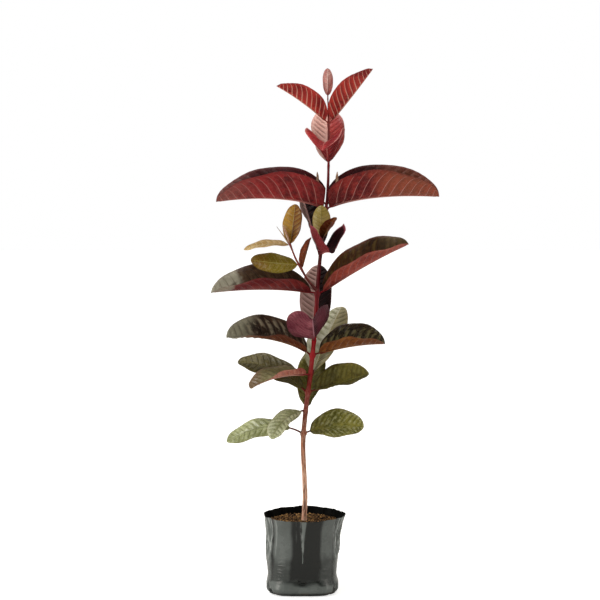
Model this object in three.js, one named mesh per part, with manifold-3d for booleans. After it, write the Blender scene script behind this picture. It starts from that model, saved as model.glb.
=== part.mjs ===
// A red-leaved guava sapling in a nursery grow bag.
// Millimetres, +Z up. The origin is the centre of the bag's flat underside,
// +X points to the right of the plant's front and +Y away from its front.
import * as THREE from 'three';
import Module from 'manifold-3d';

const wasm = await Module();
wasm.setup();

// ---------------------------------------------------------------- driving dimensions

// Clearance between pieces that touch on the real plant.
const GAP = 0.3;

// Grow bag: a tube of film, squarish where it stands and round at its open rim.
// Each section: height, half width along X, half depth along Y, squareness, shift along X.
const BAG_WALL = 1.0;
const BAG_SIDES = 40;
const BAG_SECTIONS = [
  { z: 0, halfX: 38, halfY: 37, square: 4.0, shift: 0 },
  { z: 3, halfX: 42.5, halfY: 41.5, square: 3.8, shift: 0 },
  { z: 12, halfX: 45, halfY: 44.5, square: 3.2, shift: 0 },
  { z: 35, halfX: 45, halfY: 45, square: 2.6, shift: 0 },
  { z: 65, halfX: 46.5, halfY: 46, square: 2.2, shift: 0.8 },
  { z: 85, halfX: 48.5, halfY: 47.5, square: 2.0, shift: 1.6 },
  { z: 98, halfX: 52, halfY: 48.5, square: 2.0, shift: 2.5 },
];

// Potting mix: fills the bag to a little under its rim, level round the stem.
const SOIL_TOP = 89.5;
const SOIL_RINGS = [0.97, 0.8, 0.6, 0.4, 0.24];
const SOIL_EDGE_DIP = 1.5;
const SOIL_CRUMB = 0.4;
const SOIL_RIPPLE = [7, 9];
const SOIL_CROSS_RIPPLE = [5, 4];

// Stem: height, sideways place and radius, from the flat cut at the soil to the tip bud.
const STEM_SIDES = 10;
const STEM_STEP = 14;
const STEM_FLARE = 1.1;
const STEM_FLARE_HEIGHT = 5;
const STEM_KNOTS = [
  { z: SOIL_TOP + GAP, x: 2, y: 0, r: 3.2 },
  { z: 118, x: 3.5, y: 0, r: 3.2 },
  { z: 150, x: 2.5, y: 0.5, r: 3.0 },
  { z: 190, x: 1, y: 0.5, r: 3.0 },
  { z: 233, x: 4.5, y: 0, r: 3.0 },
  { z: 275, x: 10, y: 1.5, r: 2.9 },
  { z: 338, x: 16.5, y: 3, r: 2.8 },
  { z: 382, x: 19, y: 2, r: 2.6 },
  { z: 430, x: 23, y: 1, r: 2.2 },
  { z: 497, x: 31, y: 0, r: 1.8 },
  { z: 542, x: 33, y: 0, r: 1.5 },
  { z: 596, x: 33, y: -1, r: 1.1 },
  { z: 627, x: 32, y: -1, r: 0.7 },
];

// Leaves, with angles in degrees. azimuth: 0 right, 90 away, 180 left, 270 to the front.
// rise: slope of the stalk above level. bend: how far the rib turns down along the leaf,
// shared out by bendPower. fold: slope of each half above the rib's own plane, and foldTip
// the same near the tip. roll: turn of the blade about its rib, and twist: more of it at the tip.
const LEAF_DEFAULTS = {
  bend: 0,
  bendPower: 1,
  roll: 0,
  twist: 0,
  stalk: 4,
  stalkRadius: 1.1,
  basePower: 0.64,
  tipPower: 0.58,
};
// Turns the margins out a little, as a slope.
const LEAF_FLARE = -12;
const LEAF_THICKNESS_SHARE = 0.0125;
const LEAF_THICKNESS_LEAST = 0.9;
const LEAF_END_HALF_WIDTH = 0.5;
// Each half leaves the rib at this share of its fold, and is steeper beyond.
const LEAF_RIB_FOLD_SHARE = 0.6;
// How much of its fold a leaf keeps at its tip, where no foldTip is given.
const LEAF_FOLD_KEPT = 0.6;
const LEAF_SUBSTEPS = 8;
// The fold opens out where the blade is narrower than this.
const LEAF_FOLD_WIDTH = 7;
const MAIN_LEAF = { stations: 11, halfColumns: 3 };
const SHOOT_LEAF = { stations: 6, halfColumns: 2 };

// Opposite pairs up the stem, each pair turned a quarter from the one below.
const PAIRS = [
  [203, [
    { name: 'leaf_01_left', azimuth: 184, rise: 32, bend: 66, bendPower: 0.7,
      length: 85, width: 36, stalk: 14, fold: 12, roll: -32, age: 'pale' },
    { name: 'leaf_01_right', azimuth: -6, rise: 20, bend: 28,
      length: 70, width: 52, stalk: 4, fold: 30, roll: 36, age: 'olive' },
  ]],
  [231, [
    { name: 'leaf_02_front', azimuth: 220, rise: 0, bend: 62,
      length: 60, width: 34, fold: 24, roll: -8, age: 'pale' },
    { name: 'leaf_02_back', azimuth: 72, rise: 66, bend: 10,
      length: 84, width: 40, fold: 45, age: 'olive' },
  ]],
  [256, [
    { name: 'leaf_03_left', azimuth: 176, rise: 46, bend: 46,
      length: 92, width: 48, fold: 22, roll: -28, age: 'olive' },
    { name: 'leaf_03_right', azimuth: 2, rise: 14, bend: -6,
      length: 73, width: 54, fold: 52, roll: 30, age: 'olive' },
  ]],
  [277, [
    { name: 'leaf_04_front', azimuth: 214, rise: 8, bend: 32,
      length: 84, width: 48, fold: 48, roll: 0, age: 'olive' },
    { name: 'leaf_04_back', azimuth: 52, rise: 60, bend: 14,
      length: 100, width: 54, fold: 24, age: 'pale' },
  ]],
  [303, [
    { name: 'leaf_05_left', azimuth: 184, rise: 50, bend: 53, bendPower: 0.4,
      length: 106, width: 66, fold: 61, foldTip: 40, roll: -16, twist: -15, age: 'bronze' },
    { name: 'leaf_05_right', azimuth: -8, rise: 18, bend: 18,
      length: 86, width: 66, fold: 63, foldTip: 50, roll: 17, age: 'bronze' },
  ]],
  [321, [
    { name: 'leaf_06_front', azimuth: 268, rise: 28, bend: 8, basePower: 0.36, tipPower: 0.5,
      length: 76, width: 72, fold: 40, foldTip: 68, roll: 26, twist: -16, age: 'maroon' },
    { name: 'leaf_06_back', azimuth: 82, rise: 72, bend: 10,
      length: 98, width: 44, fold: 40, age: 'maroon' },
  ]],
  [381, [
    { name: 'leaf_07_left', azimuth: 184, rise: 15, bend: 22, bendPower: 0.5,
      length: 128, width: 74, fold: 64, foldTip: 46, roll: -13, twist: -8, tipPower: 0.66,
      age: 'bronze' },
    { name: 'leaf_07_right', azimuth: -4, rise: 34, bend: 10,
      length: 124, width: 74, fold: 64, roll: 16, age: 'bronze' },
  ]],
  [431, [
    { name: 'leaf_08_front', azimuth: 278, rise: 8, bend: 12,
      length: 84, width: 82, fold: 78, foldTip: 72, age: 'maroon' },
    { name: 'leaf_08_back', azimuth: 125, rise: 68, bend: 10,
      length: 86, width: 46, fold: 65, age: 'maroon' },
  ]],
  [489, [
    { name: 'leaf_09_left', azimuth: 183, rise: 30, bend: 39, bendPower: 0.45, basePower: 0.55,
      length: 136, width: 90, stalk: 2, fold: 84, foldTip: 60, roll: -10, age: 'crimson' },
    { name: 'leaf_09_right', azimuth: -3, rise: 38, bend: 42, bendPower: 0.3, basePower: 0.55,
      length: 139, width: 92, stalk: 2, fold: 84, foldTip: 60, roll: 10, tipPower: 0.5,
      age: 'crimson' },
  ]],
  [543, [
    { name: 'leaf_10_front', azimuth: 264, rise: 55, bend: 90, stalkRadius: 0.9,
      length: 92, width: 60, stalk: 3, fold: 66, age: 'crimson' },
    { name: 'leaf_10_back', azimuth: 92, rise: 70, bend: 10, stalkRadius: 0.9,
      length: 76, width: 48, stalk: 3, fold: 50, age: 'crimson' },
  ]],
  [597, [
    { name: 'leaf_11_left', azimuth: 182, rise: 42, bend: 14, stalkRadius: 0.8, tipPower: 0.7,
      length: 76, width: 50, stalk: 2, fold: 84, age: 'scarlet' },
    { name: 'leaf_11_right', azimuth: -2, rise: 49, bend: -4, stalkRadius: 0.8, tipPower: 0.7,
      length: 83, width: 54, stalk: 2, fold: 84, age: 'scarlet' },
  ]],
];

// Side shoots: a twig that leaves the stem at a height, azimuth and rise and goes on through a
// few points, tapering between two radii, and leaves that spring from it at a share of it.
const SHOOT_SIDES = 6;
const SHOOT_DEFAULTS = { stalk: 2, stalkRadius: 0.7 };
const SHOOTS = [
  {
    name: 'shoot_left',
    age: 'golden',
    z: 387,
    azimuth: 206,
    rise: 45,
    from: 1.3,
    to: 0.8,
    points: [[6, -5, 399], [-2.5, -7, 414], [-9, -8, 426], [-16, -9, 444]],
    leaves: [
      { at: 0.56, azimuth: 190, rise: 4, bend: -4, length: 60, width: 32, fold: 8, roll: -50 },
      { at: 0.46, azimuth: 20, rise: 72, length: 40, width: 20, fold: 60 },
      { at: 0.97, azimuth: 180, rise: 12, bend: 35, length: 58, width: 20, fold: 20, roll: -25 },
      { at: 0.97, azimuth: 60, rise: 77, length: 51, width: 28, fold: 20 },
      { at: 0.97, azimuth: 180, rise: 54, length: 28, width: 7, fold: 30 },
      { at: 0.97, azimuth: 215, rise: 66, length: 26, width: 6, fold: 30 },
    ],
  },
  {
    name: 'shoot_front',
    age: 'golden',
    z: 437,
    azimuth: 266,
    rise: 50,
    from: 1.2,
    to: 0.9,
    points: [[23.5, -7, 442], [24.5, -10, 451]],
    leaves: [
      { at: 0.95, azimuth: 95, rise: 84, length: 40, width: 23, fold: 15 },
      { at: 0.9, azimuth: 320, rise: 62, bend: 20, length: 34, width: 24, fold: 25 },
      { at: 0.9, azimuth: 10, rise: 62, length: 30, width: 8, fold: 30 },
    ],
  },
  {
    name: 'shoot_axil_left',
    age: 'rose',
    z: 495,
    azimuth: 182,
    rise: 50,
    from: 0.8,
    to: 0.7,
    points: [[23.5, -1.5, 501.5], [20, -1.5, 508]],
    leaves: [
      { at: 0.5, azimuth: 0, rise: 78, length: 12, width: 6, fold: 30 },
      { at: 0.95, azimuth: 120, rise: 84, length: 25, width: 4, fold: 30 },
      { at: 0.95, azimuth: 180, rise: 55, length: 28, width: 5, fold: 30 },
    ],
  },
  {
    name: 'shoot_axil_right',
    age: 'rose',
    z: 496,
    azimuth: -2,
    rise: 50,
    from: 0.8,
    to: 0.7,
    points: [[39, -1.5, 504], [43, -1.5, 509]],
    leaves: [
      { at: 0.95, azimuth: 60, rise: 84, length: 24, width: 4, fold: 30 },
      { at: 0.95, azimuth: 0, rise: 50, length: 28, width: 5, fold: 30 },
    ],
  },
];

// Tip bud: the last pair of young leaves, pressed together face to face.
const BUD = {
  name: 'tip_bud',
  age: 'rose',
  leaves: [
    { azimuth: 262, rise: 84, length: 34, width: 14, fold: 40 },
    { azimuth: 92, rise: 84, length: 33, width: 13, fold: 40 },
  ],
};

const COLOURS = {
  film: 0x17191a,
  soil: 0x4a3323,
  bark: 0x9a5a3c,
  pale: 0x9aa06a,
  olive: 0x62652a,
  bronze: 0x4b2a20,
  maroon: 0x55202a,
  crimson: 0x8a2327,
  scarlet: 0xb0302b,
  rose: 0xc06a72,
  golden: 0xb98a35,
};

// ---------------------------------------------------------------- shared rules

const UP = new THREE.Vector3(0, 0, 1);
const radians = THREE.MathUtils.degToRad;

// A smooth line through knots sorted by height: every other value of a knot at height z.
function atHeight(knots, z) {
  const last = knots.length - 1;
  let i = 0;
  while (i < last - 1 && z > knots[i + 1].z) i += 1;
  const before = knots[Math.max(i - 1, 0)];
  const low = knots[i];
  const high = knots[i + 1];
  const after = knots[Math.min(i + 2, last)];
  const span = high.z - low.z;
  const t = THREE.MathUtils.clamp((z - low.z) / span, 0, 1);
  const result = {};
  for (const key of Object.keys(low)) {
    const slopeLow = ((high[key] - before[key]) / (high.z - before.z)) * span;
    const slopeHigh = ((after[key] - low[key]) / (after.z - low.z)) * span;
    const cubic = 2 * low[key] - 2 * high[key] + slopeLow + slopeHigh;
    const square = 3 * high[key] - 3 * low[key] - 2 * slopeLow - slopeHigh;
    result[key] = ((cubic * t + square) * t + slopeLow) * t + low[key];
  }
  return result;
}

// Skins rings of equal count into one closed body, each patch split along its shorter diagonal.
// A ring turns anticlockwise about the way the rings travel, and fans close the two ends.
function loft(rings) {
  const count = rings[0].length;
  const points = rings.flat();
  const faces = [];
  for (let i = 0; i < rings.length - 1; i += 1) {
    for (let j = 0; j < count; j += 1) {
      const next = (j + 1) % count;
      const a = i * count + j;
      const b = i * count + next;
      const above = a + count;
      const beyond = b + count;
      if (points[a].distanceTo(points[beyond]) <= points[b].distanceTo(points[above])) {
        faces.push(a, b, beyond, a, beyond, above);
      } else {
        faces.push(a, b, above, b, beyond, above);
      }
    }
  }
  const lastStart = (rings.length - 1) * count;
  const first = points.length;
  points.push(middle(rings[0]), middle(rings.at(-1)));
  for (let j = 0; j < count; j += 1) {
    const next = (j + 1) % count;
    faces.push(first, next, j);
    faces.push(first + 1, lastStart + j, lastStart + next);
  }
  return new THREE.BufferGeometry().setFromPoints(points).setIndex(faces);
}

function middle(ring) {
  const sum = new THREE.Vector3();
  ring.forEach((point) => sum.add(point));
  return sum.divideScalar(ring.length);
}

// A round ring about a centre, square to a direction.
function roundRing(centre, direction, radius, sides) {
  const side = new THREE.Vector3(0, 1, 0).cross(direction).normalize();
  const top = direction.clone().cross(side);
  return Array.from({ length: sides }, (_, i) => {
    const angle = (2 * Math.PI * i) / sides;
    return centre.clone()
      .addScaledVector(side, radius * Math.cos(angle))
      .addScaledVector(top, radius * Math.sin(angle));
  });
}

function tube(curve, from, to, sides, segments) {
  const rings = Array.from({ length: segments + 1 }, (_, i) => {
    const t = i / segments;
    const radius = from + (to - from) * t;
    return roundRing(curve.getPoint(t), curve.getTangent(t), radius, sides);
  });
  return loft(rings);
}

// Joins closed bodies that overlap into one.
function join(geometries) {
  const solids = geometries.map((geometry) => new wasm.Manifold(new wasm.Mesh({
    numProp: 3,
    vertProperties: geometry.attributes.position.array,
    triVerts: new Uint32Array(geometry.index.array),
  })));
  const whole = solids.reduce((sum, solid) => sum.add(solid)).getMesh();
  return new THREE.BufferGeometry()
    .setAttribute('position', new THREE.BufferAttribute(whole.vertProperties, 3))
    .setIndex(new THREE.BufferAttribute(whole.triVerts, 1));
}

// ---------------------------------------------------------------- bag and soil

// A level ring of the bag, drawn in from its outer face by an inset.
function bagRing(z, inset, share = 1) {
  const { halfX, halfY, square, shift } = atHeight(BAG_SECTIONS, z);
  return Array.from({ length: BAG_SIDES }, (_, i) => {
    const angle = (2 * Math.PI * i) / BAG_SIDES;
    const cos = Math.cos(angle);
    const sin = Math.sin(angle);
    const reach = (Math.abs(cos) ** square + Math.abs(sin) ** square) ** (-1 / square);
    const x = (halfX - inset) * cos * reach * share + shift;
    const y = (halfY - inset) * sin * reach * share;
    return new THREE.Vector3(x, y, z);
  });
}

function bag() {
  const rim = BAG_SECTIONS.at(-1).z;
  const floor = BAG_WALL;
  const heights = BAG_SECTIONS.map(({ z }) => z);
  const outside = heights.map((z) => bagRing(z, 0));
  const innerHeights = [rim, ...heights.filter((z) => z > floor && z < rim).reverse(), floor];
  const inside = innerHeights.map((z) => bagRing(z, BAG_WALL));
  return loft([...outside, ...inside]);
}

// The soil's crumbs: a small ripple of lobes round the bag that turns toward the stem.
function crumb(angle, share) {
  const [lobes, twist] = SOIL_RIPPLE;
  const [crossLobes, crossTwist] = SOIL_CROSS_RIPPLE;
  const along = Math.sin(lobes * angle + twist * share);
  const across = Math.cos(crossLobes * angle - crossTwist * share);
  return SOIL_CRUMB * along * across;
}

function soil() {
  const inset = BAG_WALL + 2 * GAP;
  const foot = BAG_WALL + GAP;
  const sideTop = SOIL_TOP - SOIL_EDGE_DIP;
  const sections = BAG_SECTIONS.map(({ z }) => z).filter((z) => z > foot && z < sideTop);
  const rings = [foot, ...sections, sideTop].map((z) => bagRing(z, inset));
  for (const share of SOIL_RINGS) {
    const level = share === SOIL_RINGS.at(-1);
    const dip = SOIL_EDGE_DIP * share ** 4;
    const ring = bagRing(SOIL_TOP, inset, share);
    ring.forEach((point, i) => {
      const angle = (2 * Math.PI * i) / BAG_SIDES;
      point.z = level ? SOIL_TOP : SOIL_TOP - dip + crumb(angle, share);
    });
    rings.push(ring);
  }
  return loft(rings);
}

// ---------------------------------------------------------------- stem

function stem() {
  const foot = STEM_KNOTS[0].z;
  const top = STEM_KNOTS.at(-1).z;
  const heights = [foot, foot + STEM_FLARE_HEIGHT / 2, foot + STEM_FLARE_HEIGHT];
  const steps = Math.round((top - heights.at(-1)) / STEM_STEP);
  const step = (top - heights.at(-1)) / steps;
  for (let i = 1; i <= steps; i += 1) {
    heights.push(foot + STEM_FLARE_HEIGHT + i * step);
  }
  return loft(heights.map((z) => {
    const knot = atHeight(STEM_KNOTS, z);
    const flare = Math.max(0, 1 - (z - foot) / STEM_FLARE_HEIGHT);
    const radius = knot.r + STEM_FLARE * flare ** 2;
    return roundRing(new THREE.Vector3(knot.x, knot.y, z), UP, radius, STEM_SIDES);
  }));
}

// ---------------------------------------------------------------- leaves

// Half width of the blade at a share t of its length, as a share of its half width.
function outline(t, { basePower, tipPower }) {
  const widest = basePower / (basePower + tipPower);
  return (t / widest) ** basePower * ((1 - t) / (1 - widest)) ** tipPower;
}

// The closed body of one leaf: a short stalk that widens into a folded, arching blade.
function leafBody(row, start, { stations, halfColumns }) {
  const leaf = { ...LEAF_DEFAULTS, ...row };
  const total = leaf.stalk + leaf.length;
  const thickness = Math.max(LEAF_THICKNESS_LEAST, LEAF_THICKNESS_SHARE * leaf.length);
  const foldTip = leaf.foldTip ?? leaf.fold * LEAF_FOLD_KEPT;
  const turn = radians(leaf.azimuth);
  const level = new THREE.Vector3(-Math.sin(turn), Math.cos(turn), 0);
  const centre = start.clone();
  const rings = [];
  let travelled = 0;

  const headingAt = (share) => {
    const slope = radians(leaf.rise - leaf.bend * share ** leaf.bendPower);
    return new THREE.Vector3(
      Math.cos(slope) * Math.cos(turn),
      Math.cos(slope) * Math.sin(turn),
      Math.sin(slope),
    );
  };
  const moveTo = (distance) => {
    const step = (distance - travelled) / LEAF_SUBSTEPS;
    for (let i = 0; i < LEAF_SUBSTEPS; i += 1) {
      const share = (travelled + step * (i + 0.5)) / total;
      centre.addScaledVector(headingAt(share), step);
    }
    travelled = distance;
  };
  const addRing = (t, halfWidth, thick) => {
    const heading = headingAt(travelled / total);
    const roll = radians(leaf.roll + leaf.twist * t);
    const left = level.clone().applyAxisAngle(heading, roll);
    const up = heading.clone().cross(left);
    const opened = Math.min(1, halfWidth / LEAF_FOLD_WIDTH);
    const fold = radians(leaf.fold + (foldTip - leaf.fold) * t) * opened;
    rings.push(bladeRing(centre, left, up, halfWidth, thick, fold, halfColumns));
  };

  addRing(0, leaf.stalkRadius, 2 * leaf.stalkRadius);
  moveTo(leaf.stalk);
  addRing(0, leaf.stalkRadius, 2 * leaf.stalkRadius);
  for (let i = 1; i <= stations; i += 1) {
    const t = (1 - Math.cos((Math.PI * i) / stations)) / 2;
    moveTo(leaf.stalk + t * leaf.length);
    const halfWidth = Math.max(LEAF_END_HALF_WIDTH, (leaf.width / 2) * outline(t, leaf));
    addRing(t, halfWidth, i === stations ? LEAF_THICKNESS_LEAST : thickness);
  }
  return loft(rings);
}

// One cross-section of a leaf: two halves that rise from the rib in a rounded trough.
function bladeRing(centre, left, up, halfWidth, thick, fold, halfColumns) {
  const over = [centre.clone().addScaledVector(up, thick / 2)];
  const under = [centre.clone().addScaledVector(up, -thick / 2)];
  for (const side of [1, -1]) {
    const point = centre.clone();
    const overSide = [];
    const underSide = [];
    for (let k = 0; k < halfColumns; k += 1) {
      const share = (k + 0.5) / halfColumns;
      const kept = k === 0 ? LEAF_RIB_FOLD_SHARE : 1;
      const slope = fold * kept + radians(LEAF_FLARE) * share;
      const step = halfWidth / halfColumns;
      point.addScaledVector(left, side * step * Math.cos(slope));
      point.addScaledVector(up, step * Math.sin(slope));
      const normal = up.clone().multiplyScalar(Math.cos(slope))
        .addScaledVector(left, -side * Math.sin(slope));
      overSide.push(point.clone().addScaledVector(normal, thick / 2));
      underSide.push(point.clone().addScaledVector(normal, -thick / 2));
    }
    if (side === 1) {
      over.unshift(...overSide.reverse());
      under.unshift(...underSide.reverse());
    } else {
      over.push(...overSide);
      under.push(...underSide);
    }
  }
  return [...over, ...under.reverse()];
}

// Where a stalk or twig starts, just clear of the stem's bark.
function besideStem(z, azimuth, rise, radius) {
  const { x, y, r } = atHeight(STEM_KNOTS, z);
  const reach = r + 2 * GAP + radius * Math.sin(radians(rise));
  const turn = radians(azimuth);
  return new THREE.Vector3(x + reach * Math.cos(turn), y + reach * Math.sin(turn), z);
}

function stemLeaf(row, z) {
  const { stalkRadius } = { ...LEAF_DEFAULTS, ...row };
  return leafBody(row, besideStem(z, row.azimuth, row.rise, stalkRadius), MAIN_LEAF);
}

function shoot({ z, azimuth, rise, points, from, to, leaves }) {
  const foot = besideStem(z, azimuth, rise, from);
  const beyond = points.map((point) => new THREE.Vector3(...point));
  const curve = new THREE.CatmullRomCurve3([foot, ...beyond]);
  const bodies = leaves.map((row) => {
    return leafBody({ ...SHOOT_DEFAULTS, ...row }, curve.getPoint(row.at), SHOOT_LEAF);
  });
  return join([tube(curve, from, to, SHOOT_SIDES, 2 * points.length + 2), ...bodies]);
}

function bud() {
  const tip = STEM_KNOTS.at(-1);
  const foot = new THREE.Vector3(tip.x, tip.y, tip.z + 2 * GAP);
  return join(BUD.leaves.map((row) => leafBody({ ...SHOOT_DEFAULTS, ...row }, foot, SHOOT_LEAF)));
}

// ---------------------------------------------------------------- assembly

const sapling = new THREE.Group();

function add(name, geometry, colour, roughness) {
  const material = new THREE.MeshStandardMaterial({ color: colour, roughness, metalness: 0 });
  const mesh = new THREE.Mesh(geometry, material);
  mesh.name = name;
  sapling.add(mesh);
}

add('bag', bag(), COLOURS.film, 0.3);
add('soil', soil(), COLOURS.soil, 0.95);
add('stem', stem(), COLOURS.bark, 0.6);
for (const [z, leaves] of PAIRS) {
  for (const row of leaves) {
    add(row.name, stemLeaf(row, z), COLOURS[row.age], 0.45);
  }
}
for (const row of SHOOTS) {
  add(row.name, shoot(row), COLOURS[row.age], 0.5);
}
add(BUD.name, bud(), COLOURS[BUD.age], 0.5);

export default sapling;
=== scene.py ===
"""A red-leaved guava sapling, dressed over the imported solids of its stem, leaves and bag.

Lengths are millimetres and angles are degrees unless a name says otherwise. Every mesh is
scaled to metres as it is made, in the frame of the solids: +X to the right of the plant's
front, +Y away from its front and +Z up, from the middle of the bag's flat underside.
"""

import logging
import math
from dataclasses import dataclass, field, replace
from enum import Enum
from functools import reduce

import bpy
import numpy as np
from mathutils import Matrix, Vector


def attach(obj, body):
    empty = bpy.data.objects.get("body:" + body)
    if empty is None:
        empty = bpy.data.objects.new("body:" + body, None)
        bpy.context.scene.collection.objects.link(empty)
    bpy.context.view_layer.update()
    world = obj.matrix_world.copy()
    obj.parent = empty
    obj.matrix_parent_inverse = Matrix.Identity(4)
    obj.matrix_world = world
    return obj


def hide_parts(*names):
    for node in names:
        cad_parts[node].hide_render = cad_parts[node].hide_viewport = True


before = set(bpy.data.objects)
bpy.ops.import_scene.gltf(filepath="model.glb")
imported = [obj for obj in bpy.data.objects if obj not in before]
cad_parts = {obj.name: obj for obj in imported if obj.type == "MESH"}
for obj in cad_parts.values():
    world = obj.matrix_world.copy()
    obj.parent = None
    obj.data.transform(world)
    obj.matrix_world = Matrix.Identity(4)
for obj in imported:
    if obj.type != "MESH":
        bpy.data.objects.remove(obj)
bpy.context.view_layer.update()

LOG = logging.getLogger("sapling")
MM = 0.001
ROOT_BODY = "root"

Array = np.ndarray
Material = bpy.types.Material
Node = bpy.types.Node
Outputs = bpy.types.bpy_prop_collection
Socket = bpy.types.NodeSocket
Piece = bpy.types.Object
Faces = list[tuple[int, ...]]
Triple = tuple[float, float, float]


# --- numbers and noise ---


def paint(code: str) -> Triple:
    """Turns a colour written as six hexadecimal digits into linear light.

    Args:
        code: Red, green and blue, two digits each.

    Returns:
        The linear red, green and blue.
    """
    parts = [int(code[i : i + 2], 16) / 255 for i in (0, 2, 4)]
    linear = [p / 12.92 if p <= 0.04045 else ((p + 0.055) / 1.055) ** 2.4 for p in parts]
    return (linear[0], linear[1], linear[2])


def smooth_step(low: float, high: float, value: Array) -> Array:
    """Rises smoothly from 0 at low to 1 at high, or falls where low is above high."""
    t = np.clip((value - low) / (high - low), 0, 1)
    return t * t * (3 - 2 * t)


def bell(value: Array, width: float) -> Array:
    """Gives 1 at 0, falling either way to about a third at a width from it."""
    return np.exp(-((value / width) ** 2))


def off(angle: Array, azimuth: float) -> Array:
    """Gives how far ways round lie from an azimuth, from minus to plus half a turn, in radians."""
    return (angle - math.radians(azimuth) + math.pi) % (2 * math.pi) - math.pi


def round_grid(heights: Array, sides: int) -> tuple[Array, Array]:
    """Lays out heights and ways round, in radians, by ring and side."""
    angles = np.linspace(0, 2 * math.pi, sides, endpoint=False)
    return tuple(np.meshgrid(heights, angles, indexing="ij"))


def unit(vectors: Array) -> Array:
    """Scales each vector to a length of 1."""
    size = np.linalg.norm(vectors, axis=-1, keepdims=True)
    return vectors / np.maximum(size, 1e-9)


# Odd whole numbers that stir the number of a cell until it looks random.
CELL_KEYS = np.array([374761393, 668265263, 2147483647])
SEED_KEY = 974634777
STIR_KEY = 1274126177
LOW_BITS = 0xFFFFFFFF


def lattice(cells: Array, seed: int) -> Array:
    """Gives every whole-numbered cell its own steady random number.

    Args:
        cells: Whole numbers, three along the last axis.
        seed: Picks another set of numbers.

    Returns:
        A number from -1 to 1 for each cell.
    """
    mixed = (cells @ CELL_KEYS + seed * SEED_KEY) & LOW_BITS
    mixed = ((mixed ^ (mixed >> 13)) * STIR_KEY) & LOW_BITS
    return ((mixed ^ (mixed >> 16)) & 0xFFFF) / 32767.5 - 1


def noise(points: Array, seed: int = 0) -> Array:
    """Smooth noise that is the same on every run.

    Args:
        points: Places along the last axis, with one swell of the noise to each unit.
        seed: Picks another noise.

    Returns:
        A number from -1 to 1 for each place.
    """
    floor = np.floor(points)
    share = points - floor
    share = share * share * (3 - 2 * share)
    cells = floor.astype(np.int64)
    total = np.zeros(points.shape[:-1])
    for corner in np.ndindex(2, 2, 2):
        weight = np.ones(points.shape[:-1])
        for axis, step in enumerate(corner):
            weight = weight * (share[..., axis] if step else 1 - share[..., axis])
        total += weight * lattice(cells + np.array(corner), seed)
    return total


def layered_noise(points: Array, seed: int, layers: int = 3) -> Array:
    """Adds up finer and fainter layers of noise.

    Args:
        points: Places along the last axis.
        seed: Picks another noise.
        layers: How many layers, each twice as fine as the last.

    Returns:
        A number from about -1 to 1 for each place.
    """
    total = np.zeros(points.shape[:-1])
    for layer in range(layers):
        total += noise(points * 2**layer, seed + layer) / 2**layer
    return total / 1.5


def creases(points: Array, seed: int, sharpness: float, power: float) -> Array:
    """Gives 0.7 on the sharp creases where a noise passes 0, falling to -0.3 between them."""
    return np.clip(1 - sharpness * np.abs(noise(points, seed)), 0, 1) ** power - 0.3


def through_knots(knots: Array, places: Array) -> Array:
    """Follows a smooth line through knots that are sorted by their first value.

    Args:
        knots: One knot a row.
        places: First values to look up.

    Returns:
        A row of every value for each place.
    """
    last = len(knots) - 1
    index = np.clip(np.searchsorted(knots[:, 0], places, side="left") - 1, 0, last - 1)
    before, low = knots[np.maximum(index - 1, 0)], knots[index]
    high, after = knots[index + 1], knots[np.minimum(index + 2, last)]
    span = (high - low)[:, :1]
    t = np.clip((places[:, None] - low[:, :1]) / span, 0, 1)
    slope_low = (high - before) / (high - before)[:, :1] * span
    slope_high = (after - low) / (after - low)[:, :1] * span
    cubic = 2 * low - 2 * high + slope_low + slope_high
    square = 3 * high - 3 * low - 2 * slope_low - slope_high
    return ((cubic * t + square) * t + slope_low) * t + low


# --- mesh parts ---


@dataclass
class MeshPart:
    """A closed body that is still numbers: points, faces, marks and a place in the slots."""

    points: Array
    faces: Faces
    marks: dict[str, Array] = field(default_factory=dict)
    slot: int | Array = 0


def ring_faces(rings: int, sides: int) -> Faces:
    """Joins rings of equal count into a skin of four-sided faces.

    Args:
        rings: How many rings.
        sides: How many points a ring has.

    Returns:
        The faces, facing out where a ring turns anticlockwise about the way of travel.
    """
    row, column = np.meshgrid(np.arange(rings - 1), np.arange(sides), indexing="ij")
    following = (column + 1) % sides
    a = row * sides + column
    b = row * sides + following
    stack = np.stack([a, b, b + sides, a + sides], axis=-1).reshape(-1, 4)
    return [tuple(face) for face in stack.tolist()]


def lofted(rings: Array, marks: dict[str, Array], slot: int = 0) -> MeshPart:
    """Skins rings of points into a closed body with a fan at each end.

    Args:
        rings: Points by ring and by side.
        marks: Values by ring and by side, or one that stands for many.
        slot: The body's place in the material slots.

    Returns:
        The closed body.
    """
    count, sides = rings.shape[:2]
    ends = np.stack([rings[0].mean(axis=0), rings[-1].mean(axis=0)])
    points = np.concatenate([rings.reshape(-1, 3), ends])
    faces = ring_faces(count, sides)
    first, last_start = count * sides, (count - 1) * sides
    for side in range(sides):
        following = (side + 1) % sides
        faces.append((first, following, side))
        faces.append((first + 1, last_start + side, last_start + following))
    full = {}
    for name, given in marks.items():
        values = np.broadcast_to(given, (count, sides))
        full[name] = np.concatenate([values.reshape(-1), [values[0].mean(), values[-1].mean()]])
    return MeshPart(points, faces, full, slot)


def tube(centres: Array, radii: Array, lefts: Array, ups: Array, sides: int) -> Array:
    """Makes the rings of a tube.

    Args:
        centres: The middle of each ring.
        radii: Half width and half height of each ring.
        lefts: Each ring's way to the left.
        ups: Each ring's way up.
        sides: How many points a ring has.

    Returns:
        Points by ring and by side.
    """
    angles = np.linspace(0, 2 * math.pi, sides, endpoint=False)
    across = np.cos(angles)[None, :, None] * (radii[:, :1] * lefts)[:, None]
    upward = np.sin(angles)[None, :, None] * (radii[:, 1:] * ups)[:, None]
    return centres[:, None] - across + upward


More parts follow.
